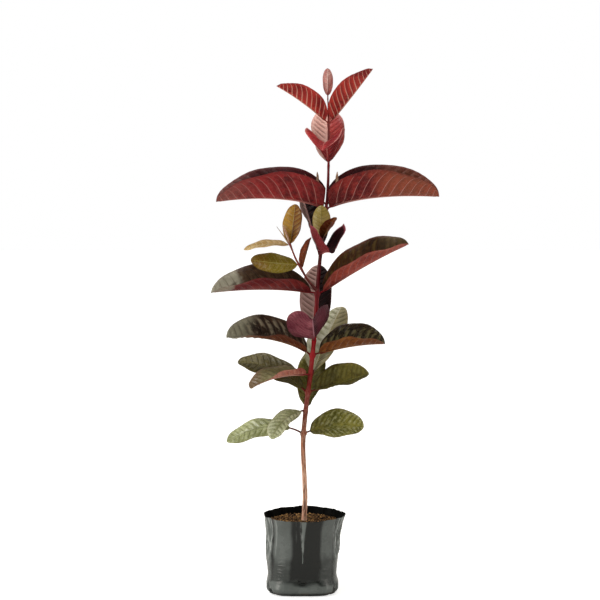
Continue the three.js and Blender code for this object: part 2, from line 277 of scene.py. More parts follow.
def along(centres: Array) -> tuple[Array, Array, Array]:
    """Gives a line its directions, with the left way kept level.

    Args:
        centres: Points of the line.

    Returns:
        The headings, the left ways and the up ways.
    """
    headings = unit(np.gradient(centres, axis=0))
    lefts = np.cross(np.array([0.0, 0.0, 1.0]), headings)
    lefts = np.where(np.linalg.norm(lefts, axis=1, keepdims=True) < 0.2, [[0.0, 1.0, 0.0]], lefts)
    lefts = unit(lefts - headings * np.sum(lefts * headings, axis=1, keepdims=True))
    return headings, lefts, np.cross(headings, lefts)


def make_object(name: str, parts: list[MeshPart], materials: list[Material]) -> Piece:
    """Joins parts into one smooth-shaded object at the origin, in metres.

    Args:
        name: The object's name.
        parts: Its closed bodies.
        materials: Its material slots.

    Returns:
        The object.
    """
    names = sorted({mark for part in parts for mark in part.marks})
    faces, slots, offset = [], [], 0
    for part in parts:
        faces += [tuple(i + offset for i in face) for face in part.faces]
        slots += np.broadcast_to(part.slot, len(part.faces)).tolist()
        offset += len(part.points)
    mesh = bpy.data.meshes.new(name)
    points = np.concatenate([part.points for part in parts]) * MM
    mesh.from_pydata(points.tolist(), [], faces)
    for mark in names:
        values = [part.marks.get(mark, np.zeros(len(part.points))) for part in parts]
        layer = mesh.attributes.new(mark, "FLOAT", "POINT")
        layer.data.foreach_set("value", np.concatenate(values).astype(np.float32))
    mesh.polygons.foreach_set("material_index", slots)
    mesh.polygons.foreach_set("use_smooth", [True] * len(mesh.polygons))
    for material in materials:
        mesh.materials.append(material)
    mesh.update()
    made = bpy.data.objects.new(name, mesh)
    bpy.context.scene.collection.objects.link(made)
    return made


def seat(piece: Piece, slot: str, *nodes: str) -> None:
    """Makes a piece ride on the plant's one body and stand for its solids.

    Args:
        piece: The piece.
        slot: The record's material slot, not used.
        *nodes: The solids that it stands for.
    """
    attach(piece, ROOT_BODY)
    if nodes:
        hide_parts(*nodes)
    LOG.info("%s: %d faces", piece.name, len(piece.data.polygons))


# --- shader graphs ---


class Graph:
    """Adds nodes to a node tree and joins them by short calls."""

    def __init__(self, tree: bpy.types.NodeTree) -> None:
        """Takes the tree to add to."""
        self.tree = tree

    def add(self, kind: str, **settings: object) -> Node:
        """Adds a node.

        Args:
            kind: The node's type name.
            **settings: Properties of the node.

        Returns:
            The node.
        """
        node = self.tree.nodes.new(kind)
        for name, value in settings.items():
            setattr(node, name, value)
        return node

    def feed(self, socket: Socket, value: object) -> None:
        """Links an output to an input, or sets the input's own value.

        Args:
            socket: The input.
            value: An output socket, a number or a colour.
        """
        if isinstance(value, Socket):
            self.tree.links.new(value, socket)
        elif isinstance(value, tuple) and socket.type == "RGBA":
            socket.default_value = (*value[:3], 1.0)
        else:
            socket.default_value = value

    def wire(self, node: Node, values: tuple[object, ...]) -> Socket:
        """Feeds a node's inputs in order, and gives its first output."""
        for socket, value in zip(node.inputs, values, strict=False):
            self.feed(socket, value)
        return node.outputs[0]

    def math(self, operation: str, *values: object, clamp: bool = False) -> Socket:
        """Adds a Math node, and keeps its result from 0 to 1 where clamp is set."""
        return self.wire(self.add("ShaderNodeMath", operation=operation, use_clamp=clamp), values)

    def fill(self, node: Node, **values: object) -> Node:
        """Feeds a node's inputs by their names.

        Args:
            node: The node.
            **values: What to feed, with _ in place of a space in the names.

        Returns:
            The node.
        """
        for name, value in values.items():
            self.feed(node.inputs[name.replace("_", " ")], value)
        return node

    def times(self, first: object, second: object) -> Socket:
        """Multiplies two numbers."""
        return self.math("MULTIPLY", first, second)

    def scaled(self, *values: object, clamp: bool = False) -> Socket:
        """Multiplies the first number by the second, and adds the third."""
        return self.math("MULTIPLY_ADD", *values, clamp=clamp)

    def swayed(self, value: object, share: float, by: object) -> Socket:
        """Adds to a number a share of how far another lies above a half."""
        return self.scaled(self.math("SUBTRACT", by, 0.5), share, value)

    def size_of(self, value: object) -> Socket:
        """Gives a number without its sign."""
        return self.math("ABSOLUTE", value)

    def from_half(self, value: object) -> Socket:
        """Gives how far a number lies from a half, either way."""
        return self.size_of(self.math("SUBTRACT", value, 0.5))

    def step(self, value: object, low: object, high: object, top: float = 1.0) -> Socket:
        """Adds a smooth step from 0 at low to top at high."""
        node = self.add("ShaderNodeMapRange", interpolation_type="SMOOTHSTEP")
        return self.fill(node, Value=value, From_Min=low, From_Max=high, To_Max=top).outputs["Result"]

    def mix(self, *values: object, kind: str = "RGBA") -> Socket:
        """Mixes two colours, or two numbers where kind is FLOAT.

        Args:
            *values: How much of the second, then the first and the second.
            kind: The node's data type.

        Returns:
            The mixture.
        """
        node = self.add("ShaderNodeMix", data_type=kind)
        for socket, value in zip((s for s in node.inputs if s.enabled), values, strict=True):
            self.feed(socket, value)
        return next(s for s in node.outputs if s.enabled)

    def blend(self, *values: object) -> Socket:
        """Mixes two numbers."""
        return self.mix(*values, kind="FLOAT")

    def tint(self, colour: object, code: str, *shares: object) -> Socket:
        """Lays a painted colour over another, by the product of some shares."""
        return self.mix(reduce(self.times, shares), colour, paint(code))

    def mark(self, name: str) -> Socket:
        """Reads a number that the mesh carries on its points."""
        return self.add("ShaderNodeAttribute", attribute_name=name).outputs["Fac"]

    def joined(self, *values: object) -> Socket:
        """Makes one vector of three numbers."""
        return self.wire(self.add("ShaderNodeCombineXYZ"), values)

    def place(self) -> Socket:
        """Reads the place on the object, in metres."""
        return self.add("ShaderNodeTexCoord").outputs["Object"]

    def split(self, vector: object) -> Outputs:
        """Parts a vector into its three numbers."""
        return self.fill(self.add("ShaderNodeSeparateXYZ"), Vector=vector).outputs

    def cloud(self, vector: object, scale: float, detail: float = 3.0) -> Socket:
        """Adds a noise texture."""
        node = self.fill(self.add("ShaderNodeTexNoise"), Vector=vector, Scale=scale, Detail=detail)
        return node.outputs["Fac"]

    def bump(self, height: object, distance: float, strength: float = 1.0) -> Socket:
        """Turns a height into a normal."""
        node = self.fill(self.add("ShaderNodeBump"), Height=height, Distance=distance * MM, Strength=strength)
        return node.outputs["Normal"]

    def group(self, name: str, **values: object) -> Outputs:
        """Places a shared group."""
        node = self.add("ShaderNodeGroup", node_tree=bpy.data.node_groups[name])
        return self.fill(node, **values).outputs

    def mottle(self, vector: object, broad: float, fine: float, spots: float) -> Outputs:
        """Places the mottle group with its own scales."""
        return self.group("mottle", Vector=vector, Broad_Scale=broad, Fine_Scale=fine, Spot_Scale=spots)


def new_group(name: str, inputs: dict[str, str], outputs: dict[str, str]) -> tuple[Graph, dict, dict]:
    """Starts a shared node group.

    Args:
        name: The group's name.
        inputs: Socket type by input name.
        outputs: Socket type by output name.

    Returns:
        The group's graph, its inputs by name and its output sockets by name.
    """
    tree = bpy.data.node_groups.new(name, "ShaderNodeTree")
    for direction, sockets in (("INPUT", inputs), ("OUTPUT", outputs)):
        for label, kind in sockets.items():
            tree.interface.new_socket(label, in_out=direction, socket_type=f"NodeSocket{kind}")
    graph = Graph(tree)
    entry, leaving = graph.add("NodeGroupInput"), graph.add("NodeGroupOutput")
    return graph, {s.name: s for s in entry.outputs}, {s.name: s for s in leaving.inputs}


def vein_group() -> None:
    """Builds the group that draws a leaf's side veins and the fine net between them.

    It puts out masks of the side veins, the net, the puckered panels between veins, which get a
    painted highlight, and the shaded side of each panel, for painted shade, and the height of the veins.
    """
    graph, given, out = new_group(
        "leaf veins",
        {"Phase": "Float", "Across": "Float", "Width": "Float", "Net": "Float", "Seed": "Float"},
        {"Side Veins": "Float", "Net Veins": "Float", "Panel": "Float", "Shade": "Float", "Height": "Float"},
    )
    across, seed = given["Across"], given["Seed"]
    off_rib = graph.size_of(across)
    wobble = graph.cloud(graph.joined(given["Phase"], across, seed), 1.7, 1.0)
    phase = graph.swayed(given["Phase"], 0.1, wobble)
    apart = graph.from_half(graph.math("FRACT", graph.math("ADD", phase, 0.5)))
    width = graph.times(given["Width"], graph.scaled(off_rib, -0.6, 1.0))
    line = graph.step(apart, width, graph.times(width, 0.3))
    side_veins = graph.times(line, graph.step(off_rib, 0.97, 0.86))
    half_saw = graph.math("FRACT", phase)
    between = graph.times(graph.step(graph.from_half(half_saw), 0.045, 0.012), 0.5)
    place = graph.joined(graph.times(phase, 2.0), graph.times(across, given["Net"]), seed)
    cells = [graph.add("ShaderNodeTexVoronoi", feature="DISTANCE_TO_EDGE") for _ in range(2)]
    coarse = graph.step(graph.fill(cells[0], Vector=place, Scale=1.6).outputs["Distance"], 0.11, 0.02)
    fine = graph.step(graph.fill(cells[1], Vector=place, Scale=4.2).outputs["Distance"], 0.13, 0.02, 0.5)
    net = graph.math("MAXIMUM", graph.math("MAXIMUM", coarse, fine), between)
    patch = graph.cloud(graph.joined(phase, graph.times(across, 2.5), seed), 1.1)
    scrap = graph.cloud(graph.joined(phase, graph.times(across, 2.0), seed), 3.6)
    patch = graph.swayed(patch, 0.7, scrap)
    # The middles of the puckers, where the top gets a painted highlight.
    panel = graph.times(graph.step(apart, 0.06, 0.36), graph.step(patch, 0.42, 0.62))
    inside = graph.times(graph.step(off_rib, 0.08, 0.3), graph.step(off_rib, 0.98, 0.75))
    graph.feed(out["Panel"], graph.times(panel, inside))
    graph.feed(out["Shade"], graph.times(graph.step(half_saw, 0.95, 0.1), inside))
    graph.feed(out["Side Veins"], side_veins)
    graph.feed(out["Net Veins"], net)
    graph.feed(out["Height"], graph.scaled(net, 0.35, side_veins))


def mottle_group() -> None:
    """Builds the group that varies a surface: broad clouds, fine grain and scattered spots."""
    graph, given, out = new_group(
        "mottle",
        {"Vector": "Vector", "Broad Scale": "Float", "Fine Scale": "Float", "Spot Scale": "Float"},
        {"Broad": "Float", "Fine": "Float", "Spots": "Float"},
    )
    for label in ("Broad", "Fine"):
        cloud = graph.cloud(given["Vector"], given[f"{label} Scale"], 4.0)
        graph.feed(out[label], graph.step(cloud, 0.3, 0.7))
    cells = graph.add("ShaderNodeTexVoronoi", feature="F1")
    graph.fill(cells, Vector=given["Vector"], Scale=given["Spot Scale"])
    picked = graph.add("ShaderNodeSeparateColor")
    graph.feed(picked.inputs[0], cells.outputs["Color"])
    radius = graph.times(graph.step(picked.outputs[0], 0.6, 1.0), 0.32)
    graph.feed(out["Spots"], graph.step(cells.outputs["Distance"], radius, graph.times(radius, 0.5)))


def new_material(name: str) -> tuple[Material, Graph, Node]:
    """Starts a material with its shader.

    Args:
        name: The material's name.

    Returns:
        The material, its graph and its Principled BSDF.
    """
    material = bpy.data.materials.new(name)
    material.use_nodes = True
    graph = Graph(material.node_tree)
    material.node_tree.nodes.clear()
    shader = graph.add("ShaderNodeBsdfPrincipled")
    output = graph.add("ShaderNodeOutputMaterial")
    graph.feed(output.inputs["Surface"], shader.outputs["BSDF"])
    return material, graph, shader


# --- leaf finishes ---


class Side(Enum):
    """A half of a leaf, seen from above with its tip ahead."""

    NEITHER = 0
    LEFT = 1
    RIGHT = -1


# Stands for a colour of which a finish shows none.
UNSEEN = "808060"


@dataclass(frozen=True)
class LeafFinish:
    """The colours and gloss of one kind of leaf, top and underside.

    Each face runs between a deep and a light tone, and has its own colour for its veins. The
    panel highlight colour is a painted highlight on the puckers of the top, the painted half colour
    paints one half of it lighter or darker as light falls on the fold, and the tip colour comes in
    past a share of the length.
    """

    slot: str
    top: tuple[str, str]
    under: tuple[str, str]
    veins: tuple[str, str]
    stalk: str
    margin: str
    margin_share: float = 0.4
    # A painted highlight on the puckers of the top, and how strongly it shows.
    panel: str = UNSEEN
    panel_highlight_share: float = 0.0
    tip: str = UNSEEN
    tip_from: float = 1.5
    tip_width: float = 0.16
    tip_shares: tuple[float, float] = (0.9, 0.35)
    # One half of the blade painted lighter or darker, as light falls on the two sides of its fold, and how
    # much of that shows on the top and the underside.
    flush: str = UNSEEN
    painted_half_side: Side = Side.NEITHER
    painted_half_share: float = 0.0
    painted_half_below: float = 0.0
    top_roughness: float = 0.38
    under_roughness: float = 0.55
    top_coat: float = 0.35
    top_vein_share: float = 0.35
    under_vein_share: float = 0.6
    vein_width: float = 0.085
    shade_share: float = 0.6
    net_share: float = 0.15
    spot: str = "2A1C14"
    spot_share: float = 0.25
    shine: float = 0.25


class LeafLook(Enum):
    """Every kind of leaf on the plant, from the oldest up."""

    PALE = LeafFinish(
        slot="leaf_pale", top=("848A56", "B6BC8A"), under=("A8AC82", "D0D4AE"),
        veins=("70704A", "BEC29A"), stalk="6A3028", margin="7E7040", panel="CED2AE", panel_highlight_share=0.4,
        top_roughness=0.42, shade_share=0.4,
    )
    SAGE = replace(PALE, top=("9CA272", "CCD0A8"), margin="6E4A34", panel="DEE0C8", shade_share=0.45)
    OLIVE = LeafFinish(
        slot="leaf_olive", top=("504A16", "827A34"), under=("7A7A50", "93946A"),
        veins=("8A8A48", "ACAC80"), stalk="64221C", margin="4E301C", panel="A6A466", panel_highlight_share=0.4,
        top_coat=0.15,
    )
    OLIVE_LIGHT = replace(
        OLIVE, top=("5C5C1C", "9A9442"), veins=("8E904E", "ACAC80"), margin="5A4A20", panel="DEDCA4",
        panel_highlight_share=0.75, top_roughness=0.28, top_coat=0.25,
    )
    OLIVE_GREY = LeafFinish(
        slot="leaf_olive", top=("4E4618", "6E6634"), under=("76724E", "8E8A66"),
        veins=("7E7A4E", "A6A27C"), stalk="6E221E", margin="55391F", panel="86805A", panel_highlight_share=0.3,
        top_roughness=0.34, top_coat=0.2, shine=0.2,
    )
    OLIVE_PINK = LeafFinish(
        slot="leaf_olive", top=("726A3E", "9C946C"), under=("A04A42", "D08A76"),
        veins=("96906A", "CE9E90"), stalk="861A22", margin="8E4A40", panel="9A9470", panel_highlight_share=0.3,
        tip="6C4A34", tip_from=0.72, tip_shares=(0.7, 0.7), top_coat=0.2,
    )
    PALE_WHITE = LeafFinish(
        slot="leaf_pale", top=("9A9A78", "C2C2AA"), under=("8E9070", "ACAE90"),
        veins=("CFCFB8", "C4C6AC"), stalk="6E2422", margin="6E5C30", panel="DADAC8", panel_highlight_share=0.4,
        flush="8A7A34", painted_half_side=Side.RIGHT, painted_half_share=0.7,
    )
    # Its pale grey tip is painted glare.
    BRONZE_GREY = LeafFinish(
        slot="leaf_bronze", top=("24150C", "4A3322"), under=("5E2A18", "8A4C2C"),
        veins=("5A4E44", "A2744C"), stalk="5E1414", margin="38190F", panel="B4A88E", panel_highlight_share=0.7,
        tip="93917C", tip_from=0.64, tip_width=0.3, top_roughness=0.42, top_coat=0.1, shine=0.12,
    )
    BRONZE = LeafFinish(
        slot="leaf_bronze", top=("1E1306", "3A2C10"), under=("6A3416", "96602C"),
        veins=("6E6432", "AA7444"), stalk="5E1414", margin="3E1E0E", panel="BCB274", panel_highlight_share=0.5,
        top_roughness=0.3, shine=0.2,
    )
    # Its pale grey tip, on both faces, is painted glare.
    BRONZE_TIP = replace(
        BRONZE_GREY, top=("2A180C", "4C3420"), under=("620E16", "923430"), veins=("5A4634", "A86058"),
        stalk="76101A", margin="45201A", panel="7A684E", panel_highlight_share=0.35, tip="9E9A88", tip_from=0.79,
        tip_width=0.08, tip_shares=(0.92, 0.85), spot_share=0.6,
    )
    BRONZE_RED = replace(
        BRONZE_GREY, top=("301A0A", "5A381A"), under=("78221C", "B65444"), veins=("5E4A36", "BE7E72"),
        stalk="76101A", margin="824038", panel="94803E", panel_highlight_share=0.45, tip="7A6A48", tip_from=0.72,
        tip_width=0.2, tip_shares=(0.6, 0.1),
    )
    MAUVE = LeafFinish(
        slot="leaf_maroon", top=("2A0D13", "4A1C24"), under=("6A2836", "AC626C"),
        veins=("7A444A", "A87480"), stalk="7C1420", margin="602A34", flush="240410", painted_half_side=Side.LEFT,
        painted_half_share=0.9, painted_half_below=0.9, top_coat=0.05, under_vein_share=0.3, vein_width=0.06,
        net_share=0.3, spot_share=0.4, shine=0.15,
    )
    DUSK = LeafFinish(
        slot="leaf_maroon", top=("0E0405", "1E0A0C"), under=("4E222C", "6E3A44"),
        veins=("6A4648", "8E5A5E"), stalk="7C1420", margin="7A4448", flush="CCA8A0", painted_half_side=Side.LEFT,
        painted_half_share=0.85, top_roughness=0.5, top_coat=0.0, shade_share=0.4, shine=0.1,
    )
    WINE = LeafFinish(
        slot="leaf_maroon", top=("18020A", "2C0812"), under=("661019", "8A222C"),
        veins=("42141F", "BA6666"), stalk="7C1420", margin="A2505E", margin_share=0.7, top_coat=0.05,
        shine=0.1,
    )
    CRIMSON = LeafFinish(
        slot="leaf_crimson", top=("260809", "44141A"), under=("560A12", "A02A2C"),
        veins=("6E2E2E", "CC8A82"), stalk="7E2226", margin="56191A", panel="6A3432", panel_highlight_share=0.15,
        tip="A66A62", tip_from=0.72, tip_width=0.3, tip_shares=(0.3, 0.5), top_roughness=0.5,
        top_coat=0.0, under_vein_share=0.7, shine=0.15,
    )
    CRIMSON_BROWN = replace(
        CRIMSON, under=("5E0C12", "A0302A"), veins=("6E2E2E", "D0938A"), tip="9C5A3C", tip_from=0.36,
        tip_width=0.4, tip_shares=(0.3, 0.55),
    )
    CORAL = LeafFinish(
        slot="leaf_crimson", top=("700E16", "AC2C30"), under=("700E16", "B03036"),
        veins=("B4645F", "BC6A64"), stalk="8A2228", margin="CE8A82", margin_share=0.5, top_coat=0.1,
        vein_width=0.05, shine=0.15,
    )
    BLUSH = LeafFinish(
        slot="leaf_crimson", top=("861A1E", "A83430"), under=("8A2424", "A63E38"),
        veins=("D4A096", "CC8A80"), stalk="8A2228", margin="CE8E84", flush="F6CCC0", painted_half_side=Side.LEFT,
        painted_half_share=0.95, top_coat=0.1, vein_width=0.045, shade_share=0.3,
    )
    SCARLET = LeafFinish(
        slot="leaf_scarlet", top=("8C1412", "BE3430"), under=("84161A", "CC3E34"),
        veins=("DA8068", "EAAE9A"), stalk="8E3A32", margin="A03A38", top_vein_share=0.6,
        under_vein_share=0.85, vein_width=0.18, net_share=0.04,
    )
    ROSE = LeafFinish(
        slot="leaf_rose", top=("D68C86", "F2BCB4"), under=("D68C86", "F2C0B6"),
        veins=("E8C0B6", "F2DAD2"), stalk="9C4A46", margin="98403E", shade_share=0.3, net_share=0.03,
    )
    SPIKE = LeafFinish(
        slot="leaf_rose", top=("B98A6A", "E2C4A6"), under=("B07A5C", "DDBA9C"),
        veins=("E8D2B8", "EAD6BE"), stalk="8C3A30", margin="9C5A44", net_share=0.0,
    )
    GOLD = LeafFinish(
        slot="leaf_golden", top=("C69E54", "F0D494"), under=("BE944A", "E8C888"),
        veins=("F4E2B4", "F0DCAC"), stalk="7E2E1E", margin="9A5E38", top_vein_share=0.6, vein_width=0.14,
        net_share=0.06,
    )
    GOLD_GREEN = replace(
        GOLD, top=("C0AE5C", "F0E2A6"), under=("C0AE5C", "F0E2A6"), veins=("8A7A34", "8A7A34"),
        flush="96802C", painted_half_side=Side.RIGHT, painted_half_share=0.75, painted_half_below=0.75,
    )
    GOLD_OLIVE = LeafFinish(
        slot="leaf_golden", top=("7A6A0E", "96862A"), under=("7C7830", "989246"),
        veins=("B8B060", "B2AC6C"), stalk="7E2E1E", margin="5E4A18", tip="7A4E0C", tip_from=0.55,
        tip_width=0.35, tip_shares=(0.6, 0.2), top_roughness=0.3, shade_share=0.3, net_share=0.0,
        spot_share=0.0,
    )
    GOLD_BROWN = LeafFinish(
        slot="leaf_golden", top=("A87A18", "D0A23C"), under=("8E5A14", "B47C2C"),
        veins=("D2C07C", "C0944E"), stalk="7E2E1E", margin="6A3A1A", flush="6A2E06",
        painted_half_side=Side.RIGHT, painted_half_share=0.85, painted_half_below=0.85, net_share=0.06,
    )
    RUST = LeafFinish(
        slot="leaf_golden", top=("82300E", "AE541C"), under=("82320E", "AC581E"),
        veins=("A66A3C", "AE7A4C"), stalk="6E1614", margin="5A2012", net_share=0.06,
    )


@dataclass
class LeafMaterials:
    """Makes each kind of leaf's material once, and hands it out again."""

    made: dict[LeafLook, Material] = field(default_factory=dict)

    def of(self, look: LeafLook) -> Material:
        """Gives the material of a look.

        Args:
            look: The kind of leaf.

        Returns:
            Its material.
        """
        if look not in self.made:
            self.made[look] = self.build(look)
        return self.made[look]

    def build(self, look: LeafLook) -> Material:
        """Builds the material: two faced blade, veins, margin, tip and spots, with painted highlights on its
        puckers and one half painted lighter or darker as lit or shaded.

        Args:
            look: The kind of leaf.

        Returns:
            The new material.
        """
        finish = look.value
        material, graph, shader = new_material(f"leaf {look.name.lower()}")
        reach, across, below, seed, rib, phase = (
            graph.mark(f"leaf_{name}") for name in ("reach", "across", "below", "seed", "rib", "phase")
        )
        width = finish.vein_width
        veins = graph.group("leaf veins", Phase=phase, Across=across, Width=width, Net=5.0, Seed=seed)
        spread = graph.joined(reach, graph.times(across, 0.35), seed)
        mottle = graph.mottle(spread, 3.2, 26.0, 30.0)
        tone = graph.scaled(mottle["Fine"], 0.35, graph.times(mottle["Broad"], 0.65))
        tone = graph.step(tone, 0.15, 0.85)
        top = graph.tint(paint(finish.top[0]), finish.top[1], tone)
        under = graph.tint(paint(finish.under[0]), finish.under[1], tone)
        # A painted highlight on the puckers of the top.
        if finish.panel_highlight_share > 0:
            top = graph.tint(top, finish.panel, veins["Panel"], finish.panel_highlight_share)
        blade = graph.mix(below, top, under)
        # Paints one half lighter or darker, as lit or shaded across the fold.
        if finish.painted_half_side is not Side.NEITHER:
            edge = 0.04 * finish.painted_half_side.value
            on_half = graph.step(across, -edge, edge, finish.painted_half_share)
            blade = graph.tint(blade, finish.flush, on_half, graph.blend(below, 1.0, finish.painted_half_below))
        shaded = graph.tint(paint(finish.top[0]), finish.under[0], below)
        blade = graph.mix(graph.times(veins["Shade"], finish.shade_share), blade, shaded)
        if finish.tip_from < 1:
            ragged = graph.scaled(mottle["Broad"], 0.16, reach)
            at_tip = graph.step(ragged, finish.tip_from, finish.tip_from + finish.tip_width)
            blade = graph.tint(blade, finish.tip, at_tip, graph.blend(below, *finish.tip_shares))
        off_rib = graph.size_of(across)
        blade = graph.tint(blade, finish.margin, graph.step(off_rib, 0.86, 1.0, finish.margin_share))
        blade = graph.tint(blade, finish.spot, mottle["Spots"], finish.spot_share)
        vein = graph.tint(paint(finish.veins[0]), finish.veins[1], below)
        strength = graph.blend(below, finish.top_vein_share, finish.under_vein_share)
        drawn = graph.scaled(veins["Net Veins"], finish.net_share, veins["Side Veins"], clamp=True)
        blade = graph.mix(graph.times(drawn, strength), blade, vein)
        blade = graph.mix(graph.times(graph.step(off_rib, 0.035, 0.012), 0.75), blade, vein)
        stalk = graph.mix(graph.step(reach, -0.01, 0.3), paint(finish.stalk), vein)
        gloss = graph.blend(below, finish.top_roughness, finish.under_roughness)
        gloss = graph.swayed(gloss, 0.16, mottle["Fine"])
        raised = graph.times(veins["Height"], graph.blend(below, -0.6, 1.0))
        height = graph.scaled(graph.cloud(spread, 90.0, 2.0), 0.25, raised)
        graph.fill(
            shader, Base_Color=graph.mix(rib, blade, stalk), Roughness=gloss,
            Normal=graph.bump(height, 0.42), Specular_IOR_Level=finish.shine,
            Coat_Weight=graph.blend(below, finish.top_coat, 0.0), Coat_Roughness=0.22,
        )
        return material


# --- leaves ---

PATH_STEPS = 240
# A half opens out where it is narrower than this.
FOLD_WIDTH = 7.0
# How far a half's slope falls from the rib to the margin, in degrees.
FLARE = -12.0
# The share of its fold that a leaf keeps at the tip, where its form gives no fold there.
FOLD_KEPT = 0.6
# Where a half leaves the rib it has this share of its fold, and all of it by FOLD_FULL_AT.
RIB_FOLD_SHARE = 0.45
FOLD_FULL_AT = 0.5
FOLD_SUBSTEPS = 10
# Rows of the blade run along the side veins, and crowd where a vein is.
VEIN_ROWS = (-0.32, -0.15, -0.05, 0.0, 0.05, 0.15, 0.32, 0.5)
# Columns of the blade that crowd beside the rib, as shares of the half width.
RIB_COLUMNS = (0.012, 0.03, 0.06)
BLADE_THICKNESS = 0.34
MARGIN_THICKNESS = 0.12
# A side vein stands out below the blade, and a groove runs along the rib above it.
VEIN_HEIGHT = 0.32
VEIN_WIDTH = 0.55
GROOVE_DEPTH = 0.3
GROOVE_WIDTH = 0.8
STALK_SIDES = 12
# Stalk radii from the root out, beside the radius at the foot of the stalk.
ROOT_RADII = np.array([1.5, 1.42, 1.3, 1.22])
# The rib's tube carries this in place of marks that only the blade needs.
MID_MARK = 0.5
# How far apart the patterns of two leaves lie for each step of their seeds.
SEED_STRIDE = 1.37


@dataclass(frozen=True)
class LeafForm:
    """How one leaf stands.

    azimuth and rise aim the stalk, bend turns the rib down along the leaf, fold raises each
    half, and roll and twist turn the blade about its rib. relief is the height of the puckers
    between its side veins, and wave that of its margin.
    """

    look: LeafLook
    azimuth: float
    rise: float
    length: float
    width: float
    fold: float
    bend: float = 0.0
    bend_power: float = 1.0
    fold_tip: float | None = None
    roll: float = 0.0
    twist: float = 0.0
    stalk: float = 4.0
    stalk_radius: float = 1.1
    base_power: float = 0.64
    tip_power: float = 0.58
    veins: int = 13
    relief: float = 1.3
    wave: float = 1.6

    def way(self, share: Array) -> Array:
        """Gives the rib's direction.

        Args:
            share: Shares of the whole leaf's length.

        Returns:
            Unit vectors.
        """
        slope = np.radians(self.rise - self.bend * np.maximum(share, 0) ** self.bend_power)
        turn = math.radians(self.azimuth)
        level = np.cos(slope)
        return np.stack([level * math.cos(turn), level * math.sin(turn), np.sin(slope)], axis=-1)


